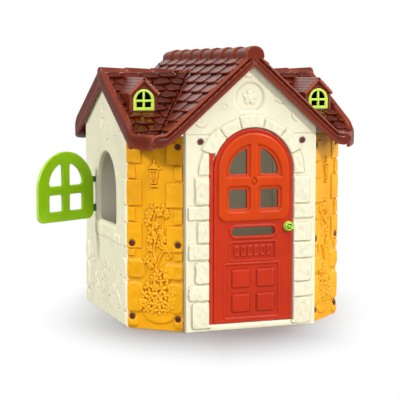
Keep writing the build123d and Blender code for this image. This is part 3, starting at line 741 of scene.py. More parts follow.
def cluster(h, u, v, cx, cz, size, rise, rng):
    """Leaf clump: four or five lobes about a middle one."""
    count = int(rng.integers(4, 6))
    turn = rng.uniform(0, 2 * math.pi)
    for k in range(count):
        angle = turn + k * 2 * math.pi / count
        reach = size * rng.uniform(0.62, 0.8)
        h = dome(h, u, v, cx + reach * math.cos(angle), cz + reach * math.sin(angle),
                 size * rng.uniform(0.56, 0.68), rise * rng.uniform(0.75, 1.0), 0.85, angle)
    return dome(h, u, v, cx, cz, size * 0.34, rise * 1.1)


def stroke(h, u, v, points, width, rise):
    """Raised rounded line through the points."""
    for start, end in zip(points[:-1], points[1:]):
        d, _ = segment_distance(u, v, start, end)
        h = np.maximum(h, rise * smooth((width - d) / (0.8 * width)))
    return h


# Leaf clumps of the plant: place on the panel and size.
CLUSTERS = [(118, 556, 19), (142, 586, 17), (170, 566, 18), (198, 588, 19), (206, 556, 14),
            (112, 520, 18), (128, 478, 18), (150, 506, 15), (122, 436, 17), (146, 452, 15),
            (176, 470, 15), (190, 440, 18), (172, 412, 16), (196, 398, 15), (120, 390, 15),
            (104, 336, 17), (124, 312, 16), (142, 338, 14),
            (160, 268, 18), (190, 282, 18), (206, 254, 17), (140, 246, 17), (178, 240, 16),
            (112, 206, 18), (146, 206, 20), (182, 204, 20), (216, 214, 19), (240, 186, 17),
            (94, 168, 19), (128, 166, 20), (164, 166, 21), (200, 168, 20), (234, 150, 18),
            (82, 130, 18), (114, 128, 20), (150, 128, 21), (186, 130, 21), (220, 118, 19),
            (102, 100, 17), (136, 96, 18), (170, 96, 18), (204, 96, 17)]


def climbing_plant(u, v):
    """Vine that climbs from a planted basket, with leaf clumps and a curled tendril."""
    h = np.zeros_like(u)
    h = stroke(h, u, v, [(152, 200), (146, 240), (154, 290), (150, 340), (140, 380),
                         (148, 430), (136, 480), (140, 530), (156, 575)], 6.5, 7)
    h = stroke(h, u, v, [(152, 300), (168, 340), (184, 372), (204, 384), (222, 378),
                         (230, 360), (222, 346), (210, 350)], 5.5, 6.5)
    h = stroke(h, u, v, [(140, 380), (124, 400), (118, 440)], 5, 6)
    h = stroke(h, u, v, [(146, 420), (170, 440), (188, 480), (186, 520), (196, 560)], 5, 6)
    h = stroke(h, u, v, [(150, 290), (126, 316), (104, 330)], 5, 6)
    rng = np.random.default_rng(3)
    for cx, cz, size in CLUSTERS:
        h = cluster(h, u, v, cx, cz, size, 9.5 if cz < 300 else 8.0, rng)
    return h


def basket(u, v):
    """Low oval planter under the leaves, a shallow swell with a soft edge."""
    d = np.hypot((u - 168) / 1.7, v - 78) - 50
    h = 4.0 * smooth(-d / 8) * smooth((96 - v) / 14)
    return h - 1.6 * groove(d, 3.0) * (v < 80)


def panel_height(u, v, d):
    """Left side of the panel is u = 0."""
    h = np.zeros_like(u)
    right = PANEL_LENGTH
    rows = [(-9, 80, 798, 900, 6), (-9, 80, 594, 722, 6), (-9, 80, 389, 516, 6),
            (-9, 46, 724, 794, 5), (-9, 46, 519, 591, 5), (-9, 46, 350, 386, 5),
            (204, right + 9, 793, 900, 6), (204, right + 9, 589, 710, 6),
            (204, right + 9, 377, 504, 6), (243, right + 9, 716, 788, 5),
            (243, right + 9, 510, 583, 5), (243, right + 9, 336, 371, 5)]
    h = stones(h, u, v, rows, rise=7.0, ramp=3.6, cut=2.6)
    boulders = [(-9, 97, 240, 345, 30), (-9, 92, 76, 233, 34), (-9, 60, 4, 70, 22),
                (186, right + 9, 240, 330, 26), (206, right + 9, 78, 236, 34),
                (240, right + 9, 4, 70, 22)]
    h = stones(h, u, v, boulders, rise=7.5, ramp=14.0, cut=3.2)
    rough = smooth((345 - v) / 20) * smooth((h - 1) / 3)
    h = h + rough * (1.2 * ripple(u, v, 64, 31) + 0.5 * ripple(u + 0.4 * v, v, 23, 35))
    relief = np.maximum(lantern(u, v), climbing_plant(u, v))
    relief = np.maximum(relief, basket(u, v))
    h = np.maximum(h, relief) + 0.25 * relief
    for column in (BOLT_INSET, PANEL_LENGTH - BOLT_INSET):
        for z in BOLT_ROWS:
            spot = np.hypot(u - column, v - z)
            level = smooth((24 - spot) / 6)
            h = h * (1 - level) + level * np.minimum(h, 4.0)
            h = h - 3.0 * smooth((18.5 - spot) / 2.5)
    return h + 0.3 * ripple(u, v, 90, 33)


def back_panel_height(u, v, d):
    """Same relief, but flush with the side wall beside it."""
    return panel_height(u, v, d) * smooth((u - 4) / 20)


def build_corner_panels():
    for corner, flip in CORNERS.items():
        place = Place(PANEL_START, PANEL_ALONG, (0, 0, 1), PANEL_OUT, flip)
        outline = loop_of(*wavy_edge(1), *wavy_edge(-1))
        spacing, height = 3.2, panel_height
        if corner.startswith("back"):
            outline[:, 0] = np.maximum(outline[:, 0], 1.0)
            spacing, height = 4.6, back_panel_height
        slab("corner_moulding_" + corner, place, [outline], height, spacing, PANEL_DEPTH,
             AMBER, rim=3.0, stands_for=["corner_panel_" + corner])


# ---- roof ----
ROW = 66.5
FIRST_ROW = 30.0
TILE = 149.0
TILE_SHIFT = 0.35
LEAN = 26.0
NOSE_SAG = 11.0
FOOT_Z = 936.0
TILE_PLANE_DROP = 6.0
FOOT_X = (MAIN_APEX - TILE_PLANE_DROP - FOOT_Z) / MAIN_SLOPE
FOOT_Y = (WING_APEX - TILE_PLANE_DROP - FOOT_Z) / WING_SLOPE
VALLEY_X = (MAIN_APEX - WING_APEX) / MAIN_SLOPE
STRIP = 33.0
RAKE_DEPTH = 15.0
ROOF_SKIN = 6.0
MAIN_RIDGE_Z = 1306.5


def tile_column(u, along, row):
    """Number of the tile across the slope, with the share of the way over it."""
    return (u - LEAN * along) / TILE + TILE_SHIFT + 0.5 * (row % 2)


def nose_sag(part):
    """How far a tile's lower edge curves back at that share of its width."""
    return NOSE_SAG * np.abs(2 * part - 1) ** 3


def tile_height(u, v, d):
    """Straight rows of arched tiles with rounded noses; v falls away from the ridge."""
    t = -v - FIRST_ROW
    row = np.floor(t / ROW)
    along = t / ROW - row
    column = tile_column(u, along, row)
    part = column - np.floor(column)
    past = t > (row + 1) * ROW - nose_sag(part) - 0.01
    row = np.where(past, row + 1, row)
    column = tile_column(u, np.where(past, 0.0, along), row)
    part = column - np.floor(column)
    along = np.where(past, 0.0, along)
    rng = np.random.default_rng(17)
    tilt = rng.uniform(-1.5, 1.5, size=(48, 48))
    own = tilt[row.astype(int) % 48, np.floor(column).astype(int) % 48]
    crown = 1 - (2 * part - 1) ** 2
    h = 1.5 + 12.5 * along + 3.5 * crown + 5.0 * (part - 0.5) + own * (part - 0.5)
    to_nose = (row + 1) * ROW - nose_sag(part) - t
    h = h - 2.5 * (1 - smooth(to_nose / 5.0)) * (along > 0.5)
    return np.where(t < 0, 2.0, h) - edge_channel(d, RAKE_Y - RAKE_DEPTH - np.abs(u))


def edge_channel(d, from_rake):
    """Deep gutter along the valley and a shallow one beside the bargeboards."""
    depth = np.where(from_rake - d < 1.0, 4.0, 11.0)
    return depth * (1 - smooth((d - 3) / 8.0))


def tile_lines():
    """Pairs of close points along the tiles' noses and joints, for crisp steps."""
    points = []
    part = np.linspace(0.02, 0.98, 38)
    along = np.linspace(0.04, 0.9, 18)
    for row in range(0, 9):
        for column in range(-6, 8):
            u = (column + part - TILE_SHIFT - 0.5 * (row % 2)) * TILE + LEAN
            t = (row + 1) * ROW - nose_sag(part)
            joint = (column - TILE_SHIFT - 0.5 * (row % 2)) * TILE + LEAN * along
            down = (row + along) * ROW
            for gap in (-0.5, 0.5):
                points.append(np.c_[u, -(t + gap) - FIRST_ROW])
                points.append(np.c_[joint + gap, -down - FIRST_ROW])
    return np.vstack(points)


class Scales:
    """Big uneven slates in staggered rows, each lapping over the row below."""
    START = 8.0

    def __init__(self, width=96.0, length=64.0, seed=5):
        rng = np.random.default_rng(seed)
        self.width, self.length = width, length
        self.extra = rng.uniform(-10, 12, size=(32, 32))
        self.lean = rng.uniform(-16, 16, size=(32, 32))
        self.rise = rng.uniform(-1.5, 2.5, size=(32, 32))

    def low_edge(self, row, column, part):
        index = (row % 32, column % 32)
        bulge = 26 * np.sqrt(np.maximum(1 - (1.86 * part) ** 2, 0))
        return (row + 1) * self.length + bulge - 12 + 0.7 * self.extra[index] \
            + self.lean[index] * part

    def height(self, u, v, d):
        t = -v - self.START
        base = np.floor(t / self.length).astype(int)
        best = np.full_like(u, 1.0)
        done = np.zeros(u.shape, bool)
        for back in (1, 0, -1):
            row = base - back
            place = u / self.width + 0.5 * (row % 2)
            column = np.floor(place).astype(int)
            part = place - column - 0.5
            edge = self.low_edge(row, column, part)
            here = (t < edge) & ~done
            along = np.clip(1 - (edge - t) / (self.length + 14), 0, 1)
            body = 1.0 + 12.0 * along + self.rise[row % 32, column % 32]
            body = body + 4.0 * (1 - (2 * part) ** 2)
            side = (0.5 - np.abs(part)) * self.width
            body = body - 5.0 * (1 - smooth(side / 9.0))
            body = body - 3.0 * (1 - smooth((edge - t) / 7.0))
            best = np.where(here, body, best)
            done |= here
        return np.where(t < 0, 2.0, best) - edge_channel(d, u + RAKE_X - STRIP + 1)

    def lines(self):
        points = []
        for row in range(0, 11):
            for column in range(-8, 2):
                part = np.linspace(-0.49, 0.49, 30)
                u = (column + part + 0.5 - 0.5 * (row % 2)) * self.width
                t = self.low_edge(row, np.full(30, column), part)
                for gap in (-0.5, 0.5):
                    points.append(np.c_[u, -(t + gap) - self.START])
        return np.vstack(points)


def slope_place(slope, apex, along_x, flip):
    """Frame of a roof slope: u level, v up the slope, origin on its ridge line."""
    angle = math.atan(slope)
    if along_x:
        return Place((0, 0, apex), (1, 0, 0), (0, math.cos(angle), math.sin(angle)),
                     (0, -math.sin(angle), math.cos(angle)), flip)
    return Place((0, 0, apex), (0, -1, 0), (math.cos(angle), 0, math.sin(angle)),
                 (-math.sin(angle), 0, math.cos(angle)), flip)


def foot_mesh(flip):
    """Level gutter corner where both slopes meet behind the fascia."""
    under_x, under_y = -FOOT_X + 12, -FOOT_Y + 16
    outline = loop_of((under_x, under_y), (-553, under_y), (-545, -560), (-527, -588),
                      (-508, -616), (-494, -640), (under_x, -640))
    place = Place((0, 0, FOOT_Z), (1, 0, 0), (0, 1, 0), (0, 0, 1), flip)
    return slab_mesh(place, [outline], lambda u, v, d: 0.8 * ripple(u, v, 50, 9), 6.0,
                     ROOF_SKIN, rim=0.0)


def build_main_slopes():
    stretch = math.sqrt(1 + MAIN_SLOPE**2)
    edge = RAKE_Y - RAKE_DEPTH
    foot = -FOOT_X * stretch
    for name, flip_x in SIDES:
        place = slope_place(MAIN_SLOPE, MAIN_APEX - TILE_PLANE_DROP, False, (flip_x, 1))
        outline = loop_of((edge, -2), (-edge, -2), (-edge, foot), (-FOOT_Y, foot),
                          (0, -VALLEY_X * stretch), (FOOT_Y, foot), (edge, foot))
        parts = [slab_mesh(place, [outline], tile_height, 4.4, ROOF_SKIN, rim=0.0,
                           extra=tile_lines())]
        parts += [foot_mesh((flip_x, flip_y)) for flip_y in (1, -1)]
        make_piece("main_roof_tiles_" + name, *joined(parts), ROOF_RED,
                   stands_for=["main_roof_" + name], sharp=38.0)


def build_wing_slopes():
    stretch = math.sqrt(1 + WING_SLOPE**2)
    scales = Scales()
    for name, flip_x in SIDES:
        parts = []
        for flip_y in (1, -1):
            place = slope_place(WING_SLOPE, WING_APEX - TILE_PLANE_DROP, True, (flip_x, flip_y))
            outer = -RAKE_X + STRIP - 1
            outline = loop_of((-VALLEY_X - 1, 0), (outer, 0), (outer, -FOOT_Y * stretch),
                              (-FOOT_X, -FOOT_Y * stretch))
            parts.append(slab_mesh(place, [outline], scales.height, 4.4, ROOF_SKIN, rim=0.0,
                                   extra=scales.lines()))
        make_piece("wing_roof_scales_" + name, *joined(parts), SLATE_RED,
                   stands_for=["wing_roof_" + name], sharp=38.0)


# Lower and upper edge of a main bargeboard: distance from the ridge and height.
RAKE_LOW = [(0, 1259), (356, 944), (382, 923), (407, 905), (430, 890), (452, 881), (473, 879),
            (491, 885), (504, 897), (510, 911)]
RAKE_HIGH = [(0, 1332), (436, 948), (458, 945), (483, 940), (500, 932), (508, 923), (510, 913)]


def rake_height(u, v, d):
    """Two-step face: the lower board stands proud, the upper rim is set back."""
    low = np.interp(np.abs(u), *zip(*RAKE_LOW))
    high = np.interp(np.abs(u), *zip(*RAKE_HIGH))
    share = (v - low) / np.maximum(high - low, 8)
    fade = smooth((488 - np.abs(u)) / 60)
    face = -3.0 + 3.0 * groove(share - 0.56, 0.08) + 1.5 * groove(share - 0.1, 0.12)
    rim = -7.5 + 6.0 * groove(share - 0.86, 0.11) - 2.0 * groove(share - 0.70, 0.04)
    stepped = face + (rim - face) * smooth((share - 0.60) / 0.06)
    return stepped * fade - 2.0 * (1 - fade)


def build_main_rakes():
    """Front and back bargeboards with a rounded nose at each foot."""
    for end, flip_y in ENDS:
        for side, flip_x in SIDES:
            outline = loop_of(*((-x, z) for x, z in RAKE_LOW),
                              *((-x, z) for x, z in reversed(RAKE_HIGH)))
            place = facing_front(RAKE_Y, (flip_x, flip_y))
            slab(f"main_rake_{end}_{side}", place, [outline], rake_height, 3.6, 18.0, ROOF_RED,
                 rim=6.0, sharp=50.0)


def wing_section(low, high, strip):
    """Section of a wing's edge: a face, a rounded crest and a level strip behind it."""
    return [(-16, low), (-5, low), (-1.5, low + 2.5), (0, low + 8), (0.0, low + 26),
            (0, high - 26), (0, high - 11), (-1.2, high - 6), (-4, high - 2.2), (-9, high),
            (-strip + 7, high), (-strip + 2.5, high - 2), (-strip, high - 7),
            (-strip, high - 20), (-strip + 4, high - 24), (-16, low + 12)]


def wing_path():
    """Stations of a wing's bargeboard and corner fascia, front half: x, y, low, high."""
    stations = []
    for y in np.linspace(0, 462, 22):
        stations.append((-RAKE_X, -y, 1165 - 0.548 * y, 1247 - 0.53 * y, STRIP))
    plan = [(-RAKE_X, -480), (-584.5, -498), (-582, -516), (-577, -533), (-569, -548),
            (-558, -565), (-545, -583), (-530, -603), (-516, -622), (-502, -640)]
    lows = [902, 893, 886, 880, 876, 873, 871, 869, 868, 868]
    highs = [991, 973, 959, 949, 944, 942, 942, 942, 942, 942]
    for index, ((x, y), low, high) in enumerate(zip(plan, lows, highs)):
        strip = STRIP - 13 * min(index / 5, 1)
        stations.append((x, y, low, high, strip))
    return stations


def build_wing_rakes():
    for side, flip_x in SIDES:
        for end, flip_y in ENDS:
            stations = wing_path()
            rings = []
            for index, (x, y, low, high, strip) in enumerate(stations):
                before = stations[max(index - 1, 0)]
                after = stations[min(index + 1, len(stations) - 1)]
                run = np.array([after[0] - before[0], after[1] - before[1]], float)
                run /= np.linalg.norm(run)
                ring = [(x + run[1] * out, y - run[0] * out, z)
                        for out, z in wing_section(low, high, strip)]
                rings.append(np.array(ring) * (flip_x, flip_y, 1))
            make_piece(f"wing_rake_{side}_{end}", *sweep_mesh(rings), ROOF_RED, sharp=38.0)


def ridge_tile(start, end, radius_start, radius_end, centre_z, axis, flip_x=1):
    """One half-round ridge tile from start to end along a horizontal axis."""
    rings = []
    shares = [0.0, 0.0, 0.0, 0.025, 0.07, 0.2, 0.5, 0.85, 1.0, 1.0]
    grow = [0.5, 0.80, 0.95, 0.99, 1.0, 0.995, 0.99, 0.98, 0.97, 0.80]
    for share, scale in zip(shares, grow):
        radius = (radius_start + (radius_end - radius_start) * share) * scale
        place = start + (end - start) * share
        ring = []
        for turn in np.linspace(-0.3, math.pi + 0.3, 33):
            side, up = radius * math.cos(turn), radius * math.sin(turn)
            ring.append((side, place, centre_z + up) if axis == "y"
                        else (place, side, centre_z + up))
        rings.append(np.array(ring) * (flip_x, 1, 1))
    return sweep_mesh(rings)


def build_ridges():
    """Overlapping half-round tiles along all ridges, closed by a disc at each end."""
    parts = []
    count, first, lap = 8, 24, 6
    length = (2 * RAKE_Y - first) / count
    for index in range(count):
        start = -RAKE_Y + first + index * length
        end = min(start + length + lap, RAKE_Y)
        parts.append(ridge_tile(start, end, 47, 37, MAIN_RIDGE_Z, "y"))
    parts.append(ridge_tile(-RAKE_Y, -RAKE_Y + first + lap, 47, 44, MAIN_RIDGE_Z, "y"))
    make_piece("main_ridge_tiles", *joined(parts), ROOF_RED, sharp=35.0)
    for side, flip_x in SIDES:
        parts = [ridge_tile(-RAKE_X + start, -RAKE_X + end, 38, small, z, "x", flip_x)
                 for start, end, small, z in ((1.5, 142, 31, 1218), (136, 280, 31, 1215.5),
                                              (274, 460, 29, 1213))]
        make_piece("wing_ridge_tiles_" + side, *joined(parts), ROOF_RED, sharp=35.0)


# ---- dormers ----
DORMER_X = 459.0
DORMER_FRONT = 360.0
DORMER_HALF = 70.0
DORMER_BASE = 1028.0
EAVE_Z = 1136.0
PEAK_Z = 1200.0
LITE_BASE, LITE_SPRING = 1046.0, 1096.0


def small_tile_height(u, v, d):
    """Rows of square tiles on a dormer's roof."""
    t = -v / 20
    row = np.floor(t)
    along = t - row
    column = u / 26 + 0.5 * (row % 2)
    part = np.abs(column - np.floor(column) - 0.5)
    return 4.0 * along * smooth((1 - along) / 0.2) * (0.4 + 0.6 * smooth((0.5 - part) * 26 / 4))


def dormer_parts(flip):
    """Front wall with its opening, two cheeks and two small roof slopes."""
    parts = []
    cx = -DORMER_X
    front = facing_front(DORMER_FRONT, flip)
    wall = loop_of((cx - DORMER_HALF, DORMER_BASE), (cx + DORMER_HALF, DORMER_BASE),
                   (cx + DORMER_HALF, EAVE_Z), (cx, PEAK_Z), (cx - DORMER_HALF, EAVE_Z))
    hole = arch_outline(cx, 48, 1050, LITE_SPRING, step=4.0)
    parts.append(slab_mesh(front, [wall, hole], lambda u, v, d: 2.0 * groove(d - 9, 5), 5.0,
                           10.0, rim=4.0))
    back_y = (WING_APEX - EAVE_Z) / WING_SLOPE
    for side in (-1, 1):
        place = Place((cx + side * DORMER_HALF, 0, 0), (0, 1, 0), (0, 0, 1), (side, 0, 0), flip)
        cheek = loop_of((-DORMER_FRONT + 2, DORMER_BASE + 2), (-DORMER_FRONT + 2, EAVE_Z - 2),
                        (-back_y, EAVE_Z - 2))
        parts.append(slab_mesh(place, [cheek], flat, 12.0, 6.0, rim=0.0))
    slope = (PEAK_Z + 8 - EAVE_Z + 6) / (DORMER_HALF + 10)
    angle = math.atan(slope)
    reach = (DORMER_HALF + 10) / math.cos(angle)
    ridge_back = (WING_APEX - PEAK_Z - 8) / WING_SLOPE
    for side in (-1, 1):
        place = Place((cx, 0, PEAK_Z + 6), (0, -side, 0),
                      (-side * math.cos(angle), 0, math.sin(angle)),
                      (side * math.sin(angle), 0, math.cos(angle)), flip)
        front_u = side * (DORMER_FRONT + 12)
        outline = loop_of((front_u, 0), (front_u, -reach), (side * (back_y - 8), -reach),
                          (side * ridge_back, 0))
        parts.append(slab_mesh(place, [outline], small_tile_height, 4.0, 13.0, rim=5.0))
    return parts


def lite_outlines(cx):
    """Dormer window: two square lights below and two quarter-round ones above."""
    inner, outer, radius, sill, base = 5, 37, 38, 15, 1098
    outlines = [arch_outline(cx, 52, LITE_BASE, LITE_SPRING, step=4.0)]
    turn = math.degrees(math.acos(inner / radius))
    for side in (-1, 1):
        a, b = sorted((cx + side * inner, cx + side * outer))
        outlines.append(loop_of((a, LITE_BASE + sill), (b, LITE_BASE + sill), (b, 1087), (a, 1087)))
        corner = (cx + side * inner, base)
        if side > 0:
            outlines.append(loop_of(corner, arc(cx, base, radius, 0, turn, 4.0)))
        else:
            outlines.append(loop_of(arc(cx, base, radius, 180 - turn, 180, 4.0), corner))
    return outlines


def build_dormers():
    for corner, flip in CORNERS.items():
        make_piece("dormer_moulding_" + corner, *joined(dormer_parts(flip)), ROOF_RED)
        slab("dormer_lite_" + corner, facing_front(DORMER_FRONT + 6, flip),
             lite_outlines(-DORMER_X), flat, 4.0, 14.0, LIME, rim=3.0, two_sided=True,
             stands_for=["dormer_window_" + corner])


# ---- door ----
PANE_INNER, PANE_OUTER = 35.0, 126.0
PANE_LOW = (584.0, 674.0)
PANE_HIGH = 748.0
PANE_RADIUS = 127.0
SLOT_HALF, SLOT_Z, SLOT_R = 110.0, 470.5, 20.5
FRAME_HALF, FRAME_BASE, FRAME_SPRING, FRAME_CORNER = 181.0, 523.0, 762.0, 45.0


def pane_outlines(grow):
    """Two square lights and two quarter-round ones, with softened corners."""
    outlines = []
    soft = 7.0
    for side in (-1, 1):
        a, b = sorted((DOOR_CX + side * (PANE_INNER - grow), DOOR_CX + side * (PANE_OUTER + grow)))
        z0, z1 = PANE_LOW[0] - grow, PANE_LOW[1] + grow
        outlines.append(rounded_box(a, b, z0, z1, soft))
        radius = PANE_RADIUS + grow
        inner = PANE_INNER - grow
        turn = math.degrees(math.acos(inner / radius))
        base = PANE_HIGH - grow
        outer_x = DOOR_CX + side * math.sqrt(radius**2 - (soft + 2) ** 2)
        head = arc(DOOR_CX, base, radius, 4 + 180 / math.pi * soft / radius, turn - 3)
        if side < 0:
            head = np.c_[2 * DOOR_CX - head[:, 0], head[:, 1]]
        foot_in = (DOOR_CX + side * inner, base)
        top = base + radius * math.sin(math.radians(turn)) - soft * 1.4
        outlines.append(loop_of(foot_in, (outer_x - side * soft, base), head,
                                (DOOR_CX + side * inner, top)))
    return outlines


def slot_outline():
    end = SLOT_HALF - SLOT_R
    return loop_of(arc(DOOR_CX + end, SLOT_Z, SLOT_R, -90, 90, 4),
                   arc(DOOR_CX - end, SLOT_Z, SLOT_R, 90, 270, 4))


def leaf_height(u, v, d):
    """Red leaf: a soft outer bead, mail slot lip, name board and four low pillows."""
    h = 1.6 * groove(d - 9, 5.0)
    slot = box_distance(u, v, DOOR_CX - SLOT_HALF, DOOR_CX + SLOT_HALF, SLOT_Z - SLOT_R,
                        SLOT_Z + SLOT_R, 20)
    h = h + 4.0 * groove(slot - 6, 4.5)
    board = box_distance(u, v, -107, 124, 335, 420, 6)
    h = h + 2.0 * groove(board - 2, 4) - 3.6 * smooth(-board / 4)
    for k in range(6):
        x = -75 + 33.5 * k
        tile = box_distance(u, v, x - 13, x + 13, 352, 404, 4)
        core = box_distance(u, v, x - 6, x + 6, 361, 395, 4)
        h = h + 4.4 * smooth(-tile / 3.5) - 3.0 * smooth(-core / 3.5)
    field = box_distance(u, v, -136, 143, 53, 318, 12)
    h = h + 2.2 * groove(field, 4.5) - 1.6 * smooth(-field / 5)
    for cx in (-53.5, 73.5):
        for cz in (126, 245):
            pillow = box_distance(u, v, cx - 47, cx + 47, cz - 45, cz + 45, 10)
            h = h + 5.0 * smooth(-pillow / 7) - 1.2 * groove(pillow - 1, 3.0)
    return h + 0.2 * ripple(u, v, 120, 61)


def build_door():
    place = facing_front(DOOR_FACE)
    left, right = LEAF[1].x - 2 * DOOR_R, LEAF[1].x
    outline = arch_outline((left + right) / 2, DOOR_R, LEAF[0].z, DOOR_SPRING)
    barrel_r = 11.5
    leaf_part = slab_mesh(place, [outline, *pane_outlines(2), slot_outline()], leaf_height,
                          3.4, 20.0, rim=4.0)
    rings = []
    for z, scale in ((34, 0.86), (34, 0.95), (36.5, 1.0), (320, 1.0), (322, 0.985),
                     (324, 1.0), (560, 1.0), (562, 0.985), (564, 1.0), (796, 1.0),
                     (799, 0.94), (799, 0.86)):
        turn = np.linspace(0, 2 * math.pi, 24, endpoint=False)
        rings.append(np.c_[DOOR_AXIS[0] + barrel_r * scale * np.cos(turn),
                           DOOR_AXIS[1] + barrel_r * scale * np.sin(turn),
                           np.full(24, float(z))])
    make_piece("door_leaf_moulding", *joined([leaf_part, sweep_mesh(rings)]), DOOR_RED,
               body="door", stands_for=["door_leaf"])


def build_hinge_block():
    """Rounded block that fills the notch above the leaf's hinge barrel."""
    outline = rounded_box(-216.5, -192.5, 800.0, 849.0, 5.0, step=2.0)
    slab("hinge_block_moulding", facing_front(DOOR_FACE + 3), [outline],
         lambda u, v, d: 0.1 * ripple(u, v, 20, 3), 2.4, 24.0, DOOR_RED, rim=4.0,
         stands_for=["door_hinge_block"])


def revolved(profile, at, count=40):
    """Round solid about an axis that runs forward, -Y, from a profile of (radius, forward)."""
    turn = np.linspace(0, 2 * math.pi, count, endpoint=False)
    rings = [np.c_[at[0] + radius * np.cos(turn), np.full(count, at[1] - forward),
                   at[2] + radius * np.sin(turn)] for radius, forward in profile]
    return sweep_mesh(rings)


def build_knob():
    """Ringed knob: a rim round a hollow with a small hub, and the pointer ridge."""
    at = (KNOB_X, node_box("door_knob")[1].y, KNOB_Z)
    parts = [revolved([(23, 0), (24, 1), (24, 3.5), (22, 5), (19.5, 6), (19, 8), (20, 12),
                       (20, 17), (19, 19.5), (17, 20.8), (15, 20.6), (13.6, 19), (13, 16),
                       (11.5, 14.2), (8.5, 14), (7.5, 15), (7, 17.5), (5.5, 18.6), (1, 19)], at)]
    angle = math.radians(POINTER_TURN)
    ahead = np.array([math.cos(angle), 0, math.sin(angle)])
    across = np.array([-math.sin(angle), 0, math.cos(angle)])
    rings = []
    for reach, half, top in ((7, 3.4, 20.5), (8, 3.5, 21.5), (24, 3.4, 21.6), (26.2, 3.0, 21.0),
                             (27, 2.2, 20.0)):
        ring = []
        for side, forward in ((-1, 16.2), (-1, top - 1.2), (-0.6, top), (0.6, top),
                              (1, top - 1.2), (1, 16.2)):
            point = np.array(at) + ahead * reach + across * side * half
            ring.append(point - (0, forward, 0))
        rings.append(np.array(ring))
    parts.append(sweep_mesh(rings))
    make_piece("door_knob_moulding", *joined(parts), KNOB_LIME, body="latch",
               stands_for=["door_knob"], sharp=50.0)


def frame_height(u, v, d):
    """Orange frame: lips round the lights and a raised lozenge at their crossing."""
    foot = box_distance(u, v, DOOR_CX - FRAME_HALF, DOOR_CX + FRAME_HALF, FRAME_BASE,
                        FRAME_SPRING, FRAME_CORNER)
    outer = np.minimum(foot, np.hypot(u - DOOR_CX, v - FRAME_SPRING) - FRAME_HALF)
    from_lights = np.full_like(u, 99.0)
    for side in (-1, 1):
        a, b = sorted((DOOR_CX + side * PANE_INNER, DOOR_CX + side * PANE_OUTER))
        from_lights = np.minimum(from_lights, box_distance(u, v, a, b, *PANE_LOW, 7))
        bound = np.maximum(np.hypot(u - DOOR_CX, v - PANE_HIGH) - PANE_RADIUS,
                           np.maximum(side * (DOOR_CX - u) + PANE_INNER, PANE_HIGH - v))
        from_lights = np.minimum(from_lights, bound)
    h = -6.4 * smooth((20 - from_lights) / 7.5)
    h = h - 1.6 * smooth((outer + 8) / 6)
    lozenge = np.abs(u - DOOR_CX) * 1.1 + np.abs(v - 711) * 0.85
    h = h - 4.2 * smooth((22 - lozenge) / 4) + 4.0 * smooth((12 - lozenge) / 4)
    return h + 0.2 * ripple(u, v, 110, 71)


def build_door_frame():
    place = facing_front(-DOOR_FRAME[0].y)
    outline = arch_outline(DOOR_CX, FRAME_HALF, FRAME_BASE, DOOR_SPRING, FRAME_CORNER)
    slab("door_frame_moulding", place, [outline, *pane_outlines(0)], frame_height, 3.4, 7.9,
         ORANGE, rim=3.5, body="door", stands_for=["door_window_frame"])


# ---- shutters ----
def shutter_outlines():
    """Round-headed shutter with two square lights and two quarter-round ones."""
    width, low, high = 382.0, 472.0, 828.0
    radius, corner = width / 2, 40.0
    outlines = [arch_outline(radius, radius, low, high - radius, corner)]
    for side in (-1, 1):
        middle, half = radius + side * 69, 44
        outlines.append(rounded_box(middle - half, middle + half, 525.0, 609.0, 8.0))
        base, reach, inner = 655.0, 116.0, 25.0
        turn = math.degrees(math.acos(inner / reach))
        head = arc(0, base, reach, 7, turn - 4)
        head = np.c_[radius + side * head[:, 0], head[:, 1]]
        outlines.append(loop_of((radius + side * (inner + 2), base),
                                (radius + side * (reach - 10), base), head,
                                (radius + side * inner, base + 98),
                                (radius + side * inner, base + 3)))
    return outlines


def shutter_height(u, v, d):
    """Even board that falls off a little towards its edges."""
    return -1.2 * smooth((7 - d) / 6) + 0.25 * ripple(u, v, 110, 81)


def build_shutters():
    sin, cos = math.sin(SHUTTER_OPEN), math.cos(SHUTTER_OPEN)
    half = 9.0
    outward = np.array([-cos, sin, 0.0])
    origin = np.array([SHUTTER_AXIS[0], SHUTTER_AXIS[1], 0.0]) + outward * half
    places = {"left": Place(origin, (-sin, -cos, 0), (0, 0, 1), outward),
              "right": Place((SHUTTER_AXIS[0] - half, SHUTTER_AXIS[1], 0), (0, -1, 0),
                             (0, 0, 1), (-1, 0, 0), flip=(-1, 1))}
    for side, place in places.items():
        slab(f"shutter_moulding_{side}", place, shutter_outlines(), shutter_height, 5.0,
             2 * half, GREEN, rim=4.5, two_sided=True, body=side + "_shutter",
             stands_for=["shutter_" + side])


# ---- CAD nodes that keep their shape ----
KEPT = {
    "bolt": (BOLT_BROWN, ["wall_screws_front", "wall_screws_back",
                          *("panel_screws_" + corner for corner in CORNERS)]),
    "steel": (STEEL, ["door_hinge_pin_upper", "door_hinge_pin_lower", "door_frame_screws",
                      "knob_spindle", "latch_screw", "shutter_pin_left",
                      "shutter_pin_right"]),
    "lime": (KNOB_LIME, ["latch_lever"]),
    "green": (BRACKET_GREEN, ["shutter_brackets_left", "shutter_brackets_right"]),
}


def finish_kept_nodes():
    for material, names in KEPT.values():
        for name in names:
            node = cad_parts[name]
            if not node.material_slots:
                node.data.materials.append(material)
            for holder in node.material_slots:
                holder.material = material


# ---- stage ----
# Sides of the painted shade on the floor: way out from the middle, where it starts, how far it
# fades.
SHADE_FRONT = ((0.0, 1.0, 0.0), 0.606, 0.77)
SHADE_CORNER = ((0.654, 0.756, 0.0), 0.525, 0.80)
SHADE_FLANKS = (((0.942, -0.334, 0.0), 0.23, 0.66), ((-0.942, 0.334, 0.0), 0.23, 0.66))
SHADE_BAND = (0.065, 1.0)
FLOOR_HALF = 14.0


